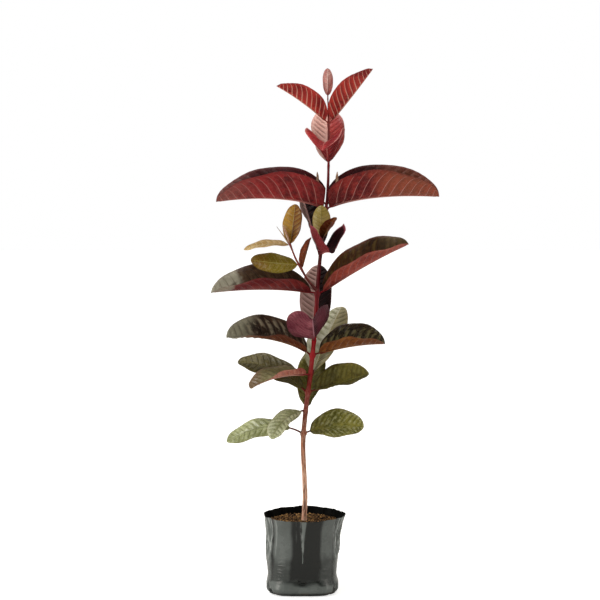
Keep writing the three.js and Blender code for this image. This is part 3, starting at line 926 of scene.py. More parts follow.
@dataclass
class Leaf:
    """Builds one leaf from its form: a thin blade with puckers and veins, and its rib."""

    form: LeafForm
    start: Array
    root: Array
    seed: int
    slot: int = 0
    half_columns: int = 17

    def __post_init__(self) -> None:
        """Walks the rib once, so that any place on it can be looked up."""
        self.total = self.form.stalk + self.form.length
        shares = (np.arange(PATH_STEPS) + 0.5) / PATH_STEPS
        steps = self.form.way(shares) * (self.total / PATH_STEPS)
        self.path = np.vstack([self.start, self.start + np.cumsum(steps, axis=0)])
        self.path_at = np.linspace(0, self.total, PATH_STEPS + 1)

    def frame(self, reach: Array) -> tuple[Array, Array, Array]:
        """Gives the rib's place and ways at shares of the blade.

        Args:
            reach: Shares of the blade's length, below 0 on the stalk.

        Returns:
            Centres, left ways and up ways.
        """
        distance = self.form.stalk + reach * self.form.length
        centre = np.stack([np.interp(distance, self.path_at, self.path[:, k]) for k in range(3)], axis=-1)
        heading = self.form.way(distance / self.total)
        turn = math.radians(self.form.azimuth)
        level = np.broadcast_to(np.array([-math.sin(turn), math.cos(turn), 0.0]), heading.shape)
        roll = np.radians(self.form.roll + self.form.twist * np.maximum(reach, 0))[..., None]
        left = level * np.cos(roll) + np.cross(heading, level) * np.sin(roll)
        return centre, left, np.cross(heading, left)

    def half_width(self, reach: Array) -> Array:
        """Gives the blade's half width.

        Args:
            reach: Shares of the blade's length.

        Returns:
            Half widths.
        """
        form = self.form
        widest = form.base_power / (form.base_power + form.tip_power)
        t = np.clip(reach, 0, 1)
        outline = (t / widest) ** form.base_power * ((1 - t) / (1 - widest)) ** form.tip_power
        return np.maximum(0.35, form.width / 2 * outline)

    def surface(self, reach: Array, across: Array) -> Array:
        """Gives places on the smooth folded blade.

        Args:
            reach: Shares of the blade's length.
            across: Shares of its half width, above 0 to the left.

        Returns:
            Places.
        """
        form = self.form
        centre, left, up = self.frame(reach)
        half = self.half_width(reach)
        fold_tip = form.fold * FOLD_KEPT if form.fold_tip is None else form.fold_tip
        fold = np.radians(form.fold + (fold_tip - form.fold) * reach)
        fold = fold * np.minimum(1, half / FOLD_WIDTH)
        out = np.zeros_like(reach)
        rise = np.zeros_like(reach)
        size = np.abs(across)
        for k in range(FOLD_SUBSTEPS):
            share = size * (k + 0.5) / FOLD_SUBSTEPS
            kept = RIB_FOLD_SHARE + (1 - RIB_FOLD_SHARE) * smooth_step(0, FOLD_FULL_AT, share)
            slope = fold * kept + math.radians(FLARE) * share
            out += np.cos(slope) * size / FOLD_SUBSTEPS
            rise += np.sin(slope) * size / FOLD_SUBSTEPS
        sideways = (np.sign(across) * out * half)[..., None] * left
        return centre + sideways + (rise * half)[..., None] * up

    def grid(self) -> tuple[Array, Array, Array]:
        """Lays out the blade's rows along its side veins.

        Returns:
            Reach, across and vein phase by row and column.
        """
        veins = self.form.veins
        phases = [0.0, 0.08, 0.2, 0.35, 0.5]
        phases += [k + row for k in range(1, veins) for row in VEIN_ROWS]
        phases += [veins - 0.35, veins - 0.2, veins - 0.1, veins - 0.04, float(veins)]
        phase = np.array(phases)
        x = phase / veins
        rib = np.clip(x - 0.03 * np.sin(2 * math.pi * x), 0, 1)
        rest = np.linspace(0.1, 1, self.half_columns - len(RIB_COLUMNS))
        half = np.concatenate([RIB_COLUMNS, rest])
        column = np.concatenate([half[::-1], [0.0], -half])
        size = np.abs(column)[None, :]
        lean = 0.66 * size + 0.34 * size**3
        forward = 0.82 * self.form.width / self.form.length
        s = rib[:, None]
        reach = s + forward * np.sqrt(s) * (1 - s) * lean
        across = np.broadcast_to(column, reach.shape)
        return reach, across, np.broadcast_to(phase[:, None], reach.shape)

    def ends(self, reach: Array) -> Array:
        """Fades what stands off the smooth blade toward its foot and its tip."""
        return smooth_step(0.0, 0.1, reach) * smooth_step(1.0, 0.88, reach)

    def lift(self, reach: Array, across: Array, phase: Array) -> Array:
        """Gives how far the blade stands off its smooth surface: puckers, waves and frill.

        Args:
            reach: Shares of the blade's length.
            across: Shares of its half width, above 0 to the left.
            phase: Places counted in side veins from the foot.

        Returns:
            Distances.
        """
        form = self.form
        size, side, ends = np.abs(across), np.sign(across), self.ends(reach)
        pucker = np.sqrt(np.sin(math.pi * phase) ** 2 + 0.02) - 0.55 + 0.3 * np.sin(2 * math.pi * phase)
        spread = smooth_step(0.02, 0.3, size) * (1 - 0.8 * smooth_step(0.6, 1.0, size))
        lump = np.stack([phase * 1.3, across * 4, np.full_like(reach, self.seed * 3.7)], axis=-1)
        lift = form.relief * ends * spread * (pucker + 0.35 * noise(lump, self.seed))
        rng = np.random.default_rng(self.seed)
        turns, start = rng.uniform(1.6, 2.8), rng.uniform(0, 2 * math.pi, 2)
        swell = np.sin(2 * math.pi * turns * reach + np.where(side > 0, start[0], start[1]))
        frill = noise(np.stack([reach * 9, side * 2.0, np.full_like(reach, self.seed)], axis=-1), self.seed)
        lift += form.wave * size**3 * ends * (0.8 * swell + 0.15 * frill)
        return lift - 0.35 * form.wave * smooth_step(0.8, 1.0, size) * ends

    def blade(self) -> MeshPart:
        """Builds the closed blade.

        Returns:
            The blade, with the marks that its finish reads.
        """
        form = self.form
        reach, across, phase = self.grid()
        base = self.surface(reach, across)
        normal = unit(np.cross(-np.gradient(base, axis=1), -np.gradient(base, axis=0)))
        _, _, up = self.frame(reach)
        flipped = np.sum(normal * up, axis=-1, keepdims=True) < -0.2
        normal = unit(np.where(flipped, -normal, normal) + 0.02 * up)
        size = np.abs(across)
        lift = self.lift(reach, across, phase)
        apart = np.abs((phase + 0.5) % 1 - 0.5) * form.length / form.veins
        ridge = VEIN_HEIGHT * bell(apart, VEIN_WIDTH) * (1 - 0.75 * size) * self.ends(reach)
        ridge *= smooth_step(0.0, 0.03, size)
        groove = GROOVE_DEPTH * bell(size * self.half_width(reach), GROOVE_WIDTH)
        groove *= smooth_step(0.0, 0.05, reach)
        thick = (BLADE_THICKNESS + (MARGIN_THICKNESS - BLADE_THICKNESS) * size**3) / 2
        over = base + normal * (thick + lift - groove)[..., None]
        under = base + normal * (lift - thick - ridge)[..., None]
        middle = (over + under) / 2
        outward = unit(base - np.roll(base, -1, axis=1))
        left_rim = middle[:, :1] + outward[:, :1] * MARGIN_THICKNESS / 2
        right_rim = middle[:, -1:] - outward[:, -2:-1] * MARGIN_THICKNESS / 2
        rings = np.concatenate([over, right_rim, under[:, ::-1], left_rim], axis=1)
        faces = ring_faces(*rings.shape[:2])
        for row, turned in ((0, True), (len(rings) - 1, False)):
            faces += self.end_faces(row * rings.shape[1], reach.shape[1], turned)
        both = {"leaf_reach": (reach, reach), "leaf_across": (across, across), "leaf_phase": (phase, phase)}
        both["leaf_below"] = (np.zeros_like(reach), np.ones_like(reach))
        marks = {name: self.round_trip(*faced).reshape(-1) for name, faced in both.items()}
        marks["leaf_seed"] = np.full(rings[..., 0].size, self.seed * SEED_STRIDE)
        return MeshPart(rings.reshape(-1, 3), faces, marks, self.slot)

    @staticmethod
    def round_trip(over: Array, under: Array) -> Array:
        """Lays out values of both faces in the order of the blade's rings."""
        return np.concatenate([over, under[:, -1:], under[:, ::-1], under[:, :1]], axis=1)

    @staticmethod
    def end_faces(first: int, columns: int, turned: bool) -> Faces:
        """Closes the flat end of a blade, top against underside.

        Args:
            first: The ring's first point.
            columns: How many columns each face has.
            turned: Whether the end faces back.

        Returns:
            The faces.
        """
        count = 2 * columns + 2
        faces = [(first + columns - 1, first + columns, first + columns + 1)]
        faces.append((first + count - 2, first + count - 1, first))
        for k in range(columns - 1):
            low, following = first + count - 2 - k, first + count - 3 - k
            faces.append((first + k, first + k + 1, following, low))
        return [face[::-1] for face in faces] if turned else faces

    def rib(self) -> MeshPart:
        """Builds the stalk, from inside its stem, and the rib that goes on below the blade.

        Returns:
            The closed tube.
        """
        form = self.form
        count = len(ROOT_RADII)
        lead = np.linspace(0, 1, count, endpoint=False)[:, None]
        elbow = self.start - form.way(np.zeros(1))[0] * 1.4 * form.stalk_radius
        entry = (1 - lead) ** 2 * self.root + 2 * lead * (1 - lead) * elbow + lead**2 * self.start
        stalk = np.linspace(-form.stalk / form.length, 0, 6)
        blade = np.concatenate([[0.015, 0.03, 0.05], np.linspace(0.08, 0.97, 22)])
        reach = np.concatenate([stalk, blade])
        centre, left, up = self.frame(reach)
        under_blade = np.clip(reach, 0, 1)
        radius = form.stalk_radius * (0.16 + 0.84 * (1 - under_blade) ** 1.1)
        radius[: len(stalk)] = form.stalk_radius * np.linspace(1.16, 1.0, len(stalk))
        sunk = smooth_step(0.0, 0.04, reach) * (radius - 0.5 * BLADE_THICKNESS + 0.28)
        centre = centre - up * sunk[:, None]
        headings, entry_left, _ = along(np.vstack([entry, centre[:2]]))
        blended = smooth_step(0, 1, lead[:, 0])[:, None]
        lefts = np.vstack([unit(entry_left[:count] * (1 - blended) + left[0] * blended), left])
        ups = np.vstack([unit(np.cross(headings[:count], lefts[:count])), up])
        radii = np.concatenate([form.stalk_radius * ROOT_RADII, radius])
        centres = np.vstack([entry, centre])
        rings = tube(centres, np.stack([radii, radii * 0.92], axis=1), lefts, ups, STALK_SIDES)
        reaches = np.concatenate([np.full(count, -0.1), reach])
        marks = {
            "leaf_reach": reaches[:, None], "leaf_rib": 1.0, "leaf_below": 1.0, "leaf_phase": MID_MARK,
            "leaf_across": MID_MARK, "leaf_seed": self.seed * SEED_STRIDE,
        }
        return lofted(rings, marks, self.slot)

    def parts(self) -> list[MeshPart]:
        """Gives the leaf's closed bodies."""
        return [self.blade(), self.rib()]


# --- stem ---


@dataclass(frozen=True)
class StemKnot:
    """A place that the stem passes through, and its radius there."""

    z: float
    x: float
    y: float
    r: float


@dataclass(frozen=True)
class StemFinish:
    """The stem's colours by height, and its gloss."""

    slot: str = "bark"
    flake: str = "FADCC4"
    speck: str = "D8B79A"
    hollow_young: str = "340A0C"
    hollow_old: str = "4E2418"
    stops: tuple[tuple[float, str], ...] = (
        (90.0, "E8AE92"), (140.0, "E8B092"), (190.0, "BC7658"), (222.0, "86382A"), (265.0, "8A1614"),
        (320.0, "B40A1C"), (380.0, "780614"), (440.0, "560A14"), (500.0, "84202C"), (600.0, "862E28"),
    )
    roughness: float = 0.42


@dataclass
class Stem:
    """The stem, with a swelling at each node, where a pair of leaves stands, and ageing bark."""

    knots: tuple[StemKnot, ...] = (
        StemKnot(89.8, 2, 0, 3.2), StemKnot(118, 3.5, 0, 3.2), StemKnot(150, 2.5, 0.5, 3.0),
        StemKnot(190, 1, 0.5, 3.0), StemKnot(233, 4.5, 0, 3.0), StemKnot(275, 10, 1.5, 2.9),
        StemKnot(338, 16.5, 3, 2.8), StemKnot(382, 19, 2, 2.6), StemKnot(430, 23, 1, 2.2),
        StemKnot(497, 31, 0, 1.8), StemKnot(542, 33, 0, 1.5), StemKnot(596, 33, -1, 1.1),
        StemKnot(627, 32, -1, 0.7),
    )
    nodes: tuple[float, ...] = (203, 231, 256, 277, 303, 321, 381, 431, 489, 543, 597)
    finish: StemFinish = StemFinish()
    sides: int = 28
    step: float = 1.0
    flare: float = 0.7
    flare_height: float = 5.0
    sunk: float = 2.5
    old_to: float = 110.0
    bark_to: float = 300.0
    square_from: float = 560.0
    name: str = "stem_bark"

    def at(self, heights: Array) -> Array:
        """Looks up the stem's middle and radius."""
        rows = np.array([[k.z, k.x, k.y, k.r] for k in self.knots])
        return through_knots(rows, np.asarray(heights, float))

    def beside(self, z: float, azimuth: float, rise: float, radius: float) -> tuple[Array, Array]:
        """Finds where a stalk starts, clear of the bark, and its root inside the stem.

        Args:
            z: Height of the node.
            azimuth: The stalk's way round.
            rise: The stalk's slope.
            radius: The stalk's radius.

        Returns:
            The start and the root.
        """
        _, x, y, r = self.at([z])[0]
        turn = math.radians(azimuth)
        way = np.array([math.cos(turn), math.sin(turn), 0.0])
        middle = np.array([x, y, z])
        reach = r + 0.6 + radius * math.sin(math.radians(rise))
        root = middle + way * (0.35 * r) - np.array([0.0, 0.0, 1.2 + 1.6 * math.sin(math.radians(rise))])
        return middle + way * reach, root

    def body(self) -> MeshPart:
        """Builds the closed stem, from just under the soil to the tip.

        Returns:
            The stem.
        """
        foot, top = self.knots[0].z, self.knots[-1].z
        heights = np.arange(foot - self.sunk, top, self.step)
        rows = self.at(heights)
        z, angle = round_grid(heights, self.sides)
        radius = np.repeat(rows[:, 3:], self.sides, axis=1)
        radius += self.flare * np.clip(1 - (z - foot) / self.flare_height, 0, 1.3) ** 2
        for index, node in enumerate(self.nodes):
            facing = math.pi / 2 * (index % 2)
            toward = np.cos(angle - facing) ** 2
            swell = bell(z - node + 1.5, 3.2) * (0.12 + 0.34 * toward)
            scar = -0.1 * bell(z - node - 1.8, 0.5)
            run = smooth_step(node - 20, node, z) * smooth_step(node + 0.5, node, z)
            radius *= 1 + swell + scar + 0.05 * run * toward
        age = smooth_step(self.bark_to, self.old_to, z)
        youth = smooth_step(self.bark_to, self.square_from, z)
        radius *= 1 + 0.05 * youth * np.cos(4 * angle)
        place = np.stack([3 * np.cos(angle), 3 * np.sin(angle), z], axis=-1)
        streaks = layered_noise(place * np.array([0.9, 0.9, 0.09]), 11)
        bumps = noise(place * np.array([0.8, 0.8, 0.45]), 5)
        radius += (0.14 + 0.16 * age) * streaks + 0.07 * bumps
        twist = np.sin(2 * angle + 0.055 * (z - foot) + 1.6 * noise(place / 17, 12)) + 0.25 * bumps
        radius -= 0.22 * age * bell(twist, 0.25)
        x = rows[:, 1:2] + radius * np.cos(angle)
        y = rows[:, 2:3] + radius * np.sin(angle)
        marks = {"stem_age": age, "stem_streak": streaks, "stem_twist": twist}
        return lofted(np.stack([x, y, z], axis=-1), marks)

    def material(self) -> Material:
        """Builds the bark: tan and flaking below, smooth and red above.

        Returns:
            The material.
        """
        finish = self.finish
        material, graph, shader = new_material("young bark")
        x, y, z = graph.split(graph.place())
        mottle = graph.mottle(graph.joined(x, y, graph.times(z, 0.12)), 260.0, 1500.0, 700.0)
        low, high = finish.stops[0][0], finish.stops[-1][0]
        wander = graph.swayed(z, 14 * MM, mottle["Broad"])
        climb = graph.add("ShaderNodeMapRange")
        graph.fill(climb, Value=wander, From_Min=low * MM, From_Max=high * MM)
        ramp = graph.fill(graph.add("ShaderNodeValToRGB"), Fac=climb.outputs["Result"])
        stops = ramp.color_ramp.elements
        while len(stops) < len(finish.stops):
            stops.new(0.5)
        for stop, (at, code) in zip(stops, finish.stops, strict=True):
            stop.position = (at - low) / (high - low)
            stop.color = (*paint(code), 1)
        age = graph.mark("stem_age")
        flaked = graph.times(graph.step(mottle["Fine"], 0.4, 0.85), age)
        colour = graph.tint(ramp.outputs["Color"], finish.flake, flaked, 0.7)
        hollow = graph.swayed(graph.mark("stem_streak"), -0.5, mottle["Broad"])
        dark = graph.times(graph.step(hollow, 0.05, -0.45), graph.blend(age, 0.25, 0.75))
        seam = graph.step(graph.size_of(graph.mark("stem_twist")), 0.3, 0.05)
        dark = graph.math("MAXIMUM", dark, graph.times(seam, graph.times(age, 0.85)))
        colour = graph.mix(dark, colour, graph.tint(paint(finish.hollow_young), finish.hollow_old, age))
        colour = graph.tint(colour, finish.speck, mottle["Spots"], graph.blend(age, 0.12, 0.5))
        rough = graph.scaled(mottle["Fine"], 0.12, graph.blend(age, finish.roughness, 0.7))
        graph.fill(
            shader, Base_Color=colour, Roughness=rough,
            Normal=graph.bump(graph.blend(0.5, mottle["Fine"], mottle["Broad"]), 0.25, 0.8),
            Specular_IOR_Level=0.2, Coat_Weight=graph.blend(age, 0.15, 0.0), Coat_Roughness=0.3,
        )
        return material

    def build(self) -> None:
        """Makes the stem."""
        seat(make_object(self.name, [self.body()], [self.material()]), self.finish.slot, "stem")


# --- foliage ---


# The opposite leaves at each node of the stem, from the lowest up: left and right, then front
# and back, by turns.
PAIRS = (
    (
        LeafForm(
            LeafLook.PALE, 184, 32, 85, 36, 12, bend=66, bend_power=0.7, stalk=14, roll=-32, veins=12,
            relief=0.8,
        ),
        LeafForm(LeafLook.OLIVE_LIGHT, -6, 20, 70, 52, 30, bend=28, roll=36, veins=11, relief=1.0),
    ),
    (
        LeafForm(LeafLook.SAGE, 220, 0, 60, 34, 24, bend=62, roll=-8, veins=11, relief=1.1),
        LeafForm(LeafLook.OLIVE, 72, 66, 84, 40, 45, bend=10, veins=11),
    ),
    (
        LeafForm(LeafLook.OLIVE_GREY, 176, 46, 92, 48, 22, bend=46, roll=-28, veins=12, relief=0.8),
        LeafForm(LeafLook.OLIVE, 2, 14, 73, 54, 52, bend=-6, roll=30, veins=11, relief=0.9),
    ),
    (
        LeafForm(LeafLook.OLIVE_PINK, 214, 8, 84, 48, 48, bend=32, veins=12, relief=1.0),
        LeafForm(LeafLook.PALE_WHITE, 52, 60, 100, 54, 24, bend=14, veins=12, relief=1.2),
    ),
    (
        LeafForm(
            LeafLook.BRONZE_GREY, 184, 50, 106, 66, 61, bend=53, bend_power=0.4, fold_tip=40, roll=-16,
            twist=-15, relief=1.0,
        ),
        LeafForm(LeafLook.BRONZE, -8, 18, 86, 66, 63, bend=18, fold_tip=50, roll=17, veins=10, relief=1.5),
    ),
    (
        LeafForm(
            LeafLook.MAUVE, 268, 28, 76, 72, 40, bend=8, fold_tip=68, roll=26, twist=-16, base_power=0.36,
            tip_power=0.5, veins=10, relief=0.9,
        ),
        LeafForm(LeafLook.DUSK, 82, 72, 98, 44, 40, bend=10, veins=15, relief=0.8),
    ),
    (
        LeafForm(
            LeafLook.BRONZE_TIP, 184, 15, 128, 74, 64, bend=22, bend_power=0.5, fold_tip=46, roll=-13,
            twist=-8, tip_power=0.66, relief=1.1,
        ),
        LeafForm(LeafLook.BRONZE_RED, -4, 34, 124, 74, 64, bend=10, roll=16, tip_power=0.5, relief=1.2),
    ),
    (
        LeafForm(LeafLook.WINE, 278, 8, 84, 82, 78, bend=12, fold_tip=72, veins=12, relief=0.7),
        LeafForm(LeafLook.DUSK, 125, 68, 86, 46, 65, bend=10, veins=12),
    ),
    (
        LeafForm(
            LeafLook.CRIMSON, 183, 30, 137.5, 90, 84, bend=39, bend_power=0.45, fold_tip=60, roll=-10,
            stalk=0.5, base_power=0.38, relief=1.7,
        ),
        LeafForm(
            LeafLook.CRIMSON_BROWN, -3, 38, 140.5, 92, 84, bend=42, bend_power=0.3, fold_tip=60, roll=10,
            stalk=0.5, base_power=0.42, tip_power=0.5, relief=1.7,
        ),
    ),
    (
        LeafForm(LeafLook.CORAL, 264, 55, 92, 60, 66, bend=90, stalk=3, stalk_radius=0.9, relief=0.9),
        LeafForm(
            LeafLook.BLUSH, 92, 70, 76, 48, 50, bend=10, stalk=3, stalk_radius=0.9, veins=12, relief=0.6
        ),
    ),
    (
        LeafForm(
            LeafLook.SCARLET, 182, 42, 76, 50, 84, bend=14, stalk=2, stalk_radius=0.8, tip_power=0.7,
            veins=12, relief=1.4, wave=0.8,
        ),
        LeafForm(
            LeafLook.SCARLET, -2, 49, 83, 54, 84, bend=-4, stalk=2, stalk_radius=0.8, tip_power=0.7,
            veins=12, relief=1.4, wave=0.8,
        ),
    ),
)


@dataclass
class Foliage:
    """The opposite pairs of leaves up the stem."""

    stem: Stem
    materials: LeafMaterials
    pairs: tuple[tuple[LeafForm, LeafForm], ...] = PAIRS

    def build(self) -> None:
        """Makes every leaf of the stem."""
        for index, (z, pair) in enumerate(zip(self.stem.nodes, self.pairs, strict=True)):
            sides = ("front", "back") if index % 2 else ("left", "right")
            for second, (side, form) in enumerate(zip(sides, pair, strict=True)):
                name = f"leaf_{index + 1:02d}_{side}"
                start, root = self.stem.beside(z, form.azimuth, form.rise, form.stalk_radius)
                leaf = Leaf(form, start, root, seed=2 * index + second + 1)
                piece = make_object(f"{name}_blade", leaf.parts(), [self.materials.of(form.look)])
                seat(piece, form.look.value.slot, name)


# Columns of faces on each half of a small leaf.
SMALL_COLUMNS = 11


def shoot_leaf(
    look: LeafLook, azimuth: float, rise: float, length: float, width: float, fold: float, **more: float
) -> LeafForm:
    """Gives the form of a small leaf on a side shoot.

    Args:
        look: The kind of leaf.
        azimuth: The leaf's way round.
        rise: Its slope.
        length: Its length.
        width: Its width.
        fold: How far its halves fold up.
        **more: Other fields of the form.

    Returns:
        The form.
    """
    small = {"stalk": 2.0, "stalk_radius": 0.7, "veins": 9 if length > 35 else 7}
    small |= {"relief": 0.003 * length, "wave": 0.012 * length}
    return LeafForm(look, azimuth, rise, length, width, fold, **{**small, **more})


@dataclass(frozen=True)
class SideShoot:
    """A twig that leaves the stem and the small leaves on it, each at a share of its length."""

    name: str
    slot: str
    z: float
    azimuth: float
    rise: float
    base_radius: float
    tip_radius: float
    points: tuple[Triple, ...]
    leaves: tuple[tuple[float, LeafForm], ...]
    seed: int
    leaf_sunk: float = 0.5
    span_rings: int = 14
    root_rings: int = 3
    sides: int = 16
    twig_deep: str = "5A1416"
    twig_light: str = "9A4030"

    def twig(self, knots: Array, root: Array) -> MeshPart:
        """Builds the twig, with a swelling where leaves leave it.

        Args:
            knots: The twig's knots, numbered in their first value.
            root: Its root inside the stem.

        Returns:
            The closed twig.
        """
        share = np.linspace(0, 1, self.span_rings * (len(knots) - 1))
        line = through_knots(knots, share * (len(knots) - 1))[:, 1:]
        radius = self.base_radius + (self.tip_radius - self.base_radius) * share
        for at in {at for at, _ in self.leaves}:
            radius *= 1 + 0.3 * bell(share - at, 0.05)
        radius *= 1 + 0.35 * bell(share, 0.06)
        lead = np.linspace(0, 1, self.root_rings, endpoint=False)[:, None]
        centres = np.vstack([root + (line[0] - root) * lead, line])
        radii = np.concatenate([np.full(self.root_rings, radius[0] * 1.1), radius])
        radii *= 1 + 0.05 * noise(centres * 0.7, self.seed)
        _, lefts, ups = along(centres)
        rings = tube(centres, np.stack([radii, radii], axis=1), lefts, ups, self.sides)
        return lofted(rings, {"twig_share": np.concatenate([np.zeros(self.root_rings), share])[:, None]})

    def twig_material(self) -> Material:
        """Builds the twig's smooth red skin.

        Returns:
            The material.
        """
        material, graph, shader = new_material(f"{self.name} twig")
        mottle = graph.mottle(graph.place(), 180.0, 1200.0, 900.0)
        share = graph.scaled(mottle["Broad"], 0.5, graph.times(graph.mark("twig_share"), 0.6))
        colour = graph.tint(paint(self.twig_deep), self.twig_light, share)
        rough = graph.scaled(mottle["Fine"], 0.15, 0.4)
        graph.fill(shader, Base_Color=colour, Roughness=rough, Normal=graph.bump(mottle["Fine"], 0.1))
        return material

    def build(self, stem: Stem, materials: LeafMaterials) -> None:
        """Makes the shoot as one piece.

        Args:
            stem: The stem that carries it.
            materials: The leaf materials.
        """
        start, root = stem.beside(self.z, self.azimuth, self.rise, self.base_radius)
        points = np.vstack([start, *self.points])
        knots = np.column_stack([np.arange(len(points)), points])
        slots = [self.twig_material()]
        parts = [self.twig(knots, root)]
        for index, (at, form) in enumerate(self.leaves):
            material = materials.of(form.look)
            if material not in slots:
                slots.append(material)
            foot = through_knots(knots, np.array([at * (len(knots) - 1)]))[0, 1:]
            inward = foot - form.way(np.zeros(1))[0] * self.leaf_sunk
            slot = slots.index(material)
            leaf = Leaf(form, foot, inward, self.seed + index, slot, half_columns=SMALL_COLUMNS)
            parts += leaf.parts()
        seat(make_object(f"{self.name}_growth", parts, slots), self.slot, self.name)


SHOOTS = (
    SideShoot(
        name="shoot_left", slot="leaf_golden", seed=40,
        z=387, azimuth=206, rise=45, base_radius=1.6, tip_radius=1.1,
        points=((6, -5, 399), (-2.5, -7, 414), (-9, -8, 426), (-16, -9, 444)),
        leaves=(
            (0.56, shoot_leaf(LeafLook.GOLD_OLIVE, 190, 4, 60, 32, 8, bend=-4, roll=-50)),
            (0.46, shoot_leaf(LeafLook.RUST, 20, 72, 40, 20, 60)),
            (0.97, shoot_leaf(LeafLook.GOLD, 180, 12, 58, 20, 20, bend=35, roll=-25)),
            (0.97, shoot_leaf(LeafLook.GOLD_BROWN, 60, 77, 51, 28, 20)),
            (0.97, shoot_leaf(LeafLook.SPIKE, 180, 54, 28, 7, 30)),
            (0.97, shoot_leaf(LeafLook.SPIKE, 215, 66, 26, 6, 30)),
        ),
    ),
    SideShoot(
        name="shoot_front", slot="leaf_golden", seed=50,
        z=437, azimuth=266, rise=50, base_radius=1.2, tip_radius=0.9,
        points=((23.5, -7, 442), (24.5, -10, 451)),
        leaves=(
            (0.95, shoot_leaf(LeafLook.GOLD_GREEN, 95, 84, 40, 23, 15)),
            (0.9, shoot_leaf(LeafLook.RUST, 320, 62, 34, 24, 25, bend=20)),
            (0.9, shoot_leaf(LeafLook.GOLD, 10, 62, 30, 8, 30)),
        ),
    ),
    SideShoot(
        name="shoot_axil_left", slot="leaf_rose", seed=60,
        z=495, azimuth=182, rise=50, base_radius=0.8, tip_radius=0.7,
        points=((23.5, -1.5, 501.5), (20, -1.5, 508)),
        leaves=(
            (0.5, shoot_leaf(LeafLook.SCARLET, 0, 78, 12, 6, 30)),
            (0.95, shoot_leaf(LeafLook.SPIKE, 120, 84, 25, 4, 30)),
            (0.95, shoot_leaf(LeafLook.SPIKE, 180, 55, 28, 5, 30)),
        ),
    ),
    SideShoot(
        name="shoot_axil_right", slot="leaf_rose", seed=70,
        z=496, azimuth=-2, rise=50, base_radius=0.8, tip_radius=0.7,
        points=((39, -1.5, 504), (43, -1.5, 509)),
        leaves=(
            (0.95, shoot_leaf(LeafLook.SPIKE, 60, 84, 24, 4, 30)),
            (0.95, shoot_leaf(LeafLook.SPIKE, 0, 50, 28, 5, 30)),
        ),
    ),
)


@dataclass(frozen=True)
class TipBud:
    """The last pair of young leaves, pressed together above the stem's tip."""

    name: str = "tip_bud"
    slot: str = "leaf_rose"
    lift: float = 0.6
    sunk: float = 3.0
    seed: int = 80
    leaves: tuple[LeafForm, ...] = (
        shoot_leaf(LeafLook.ROSE, 262, 84, 34, 14, 40), shoot_leaf(LeafLook.ROSE, 92, 84, 33, 13, 40),
    )

    def build(self, stem: Stem, materials: LeafMaterials) -> None:
        """Makes the bud.

        Args:
            stem: The stem that it tops.
            materials: The leaf materials.
        """
        tip = stem.knots[-1]
        foot = np.array([tip.x, tip.y, tip.z + self.lift])
        root = foot - np.array([0.0, 0.0, self.sunk])
        parts = []
        for index, form in enumerate(self.leaves):
            parts += Leaf(form, foot, root, self.seed + index, half_columns=SMALL_COLUMNS).parts()
        seat(make_object(f"{self.name}_growth", parts, [materials.of(LeafLook.ROSE)]), self.slot, self.name)


# --- bag and soil ---


@dataclass(frozen=True)
class FilmFold:
    """A fold that runs up the film: a crest above 0 high, a valley below.

    skew moves its sharp edge toward one side, so that the other side slopes more gently.
    """

    azimuth: float
    height: float
    width: float
    low: float
    high: float = 99.0
    lean: float = 0.0
    skew: float = 0.0


@dataclass(frozen=True)
class FilmZone:
    """A part of the film's way round, by its middle and half width in degrees."""

    azimuth: float
    spread: float

    def share(self, angle: Array, edge: float) -> Array:
        """Gives how far places are inside the zone."""
        apart = np.degrees(np.abs(off(angle, self.azimuth)))
        return smooth_step(self.spread + edge / 2, self.spread - edge / 2, apart)


@dataclass(frozen=True)
class FilmFinish:
    """The film's colour and gloss."""

    slot: str = "film"
    colour: str = "090E0B"
    # The grey painted as reflections in broad bands, and how strongly it shows.
    painted_reflection: str = "7E8582"
    painted_reflection_share: float = 0.6
    # Painted highlights on the crests, which also stand for the whitening of creased film.
    crest_highlight: str = "C6CCCA"
    soiled: str = "4A3A2E"
    inner: str = "040605"
    speck: str = "7A604A"
    roughness: float = 0.17


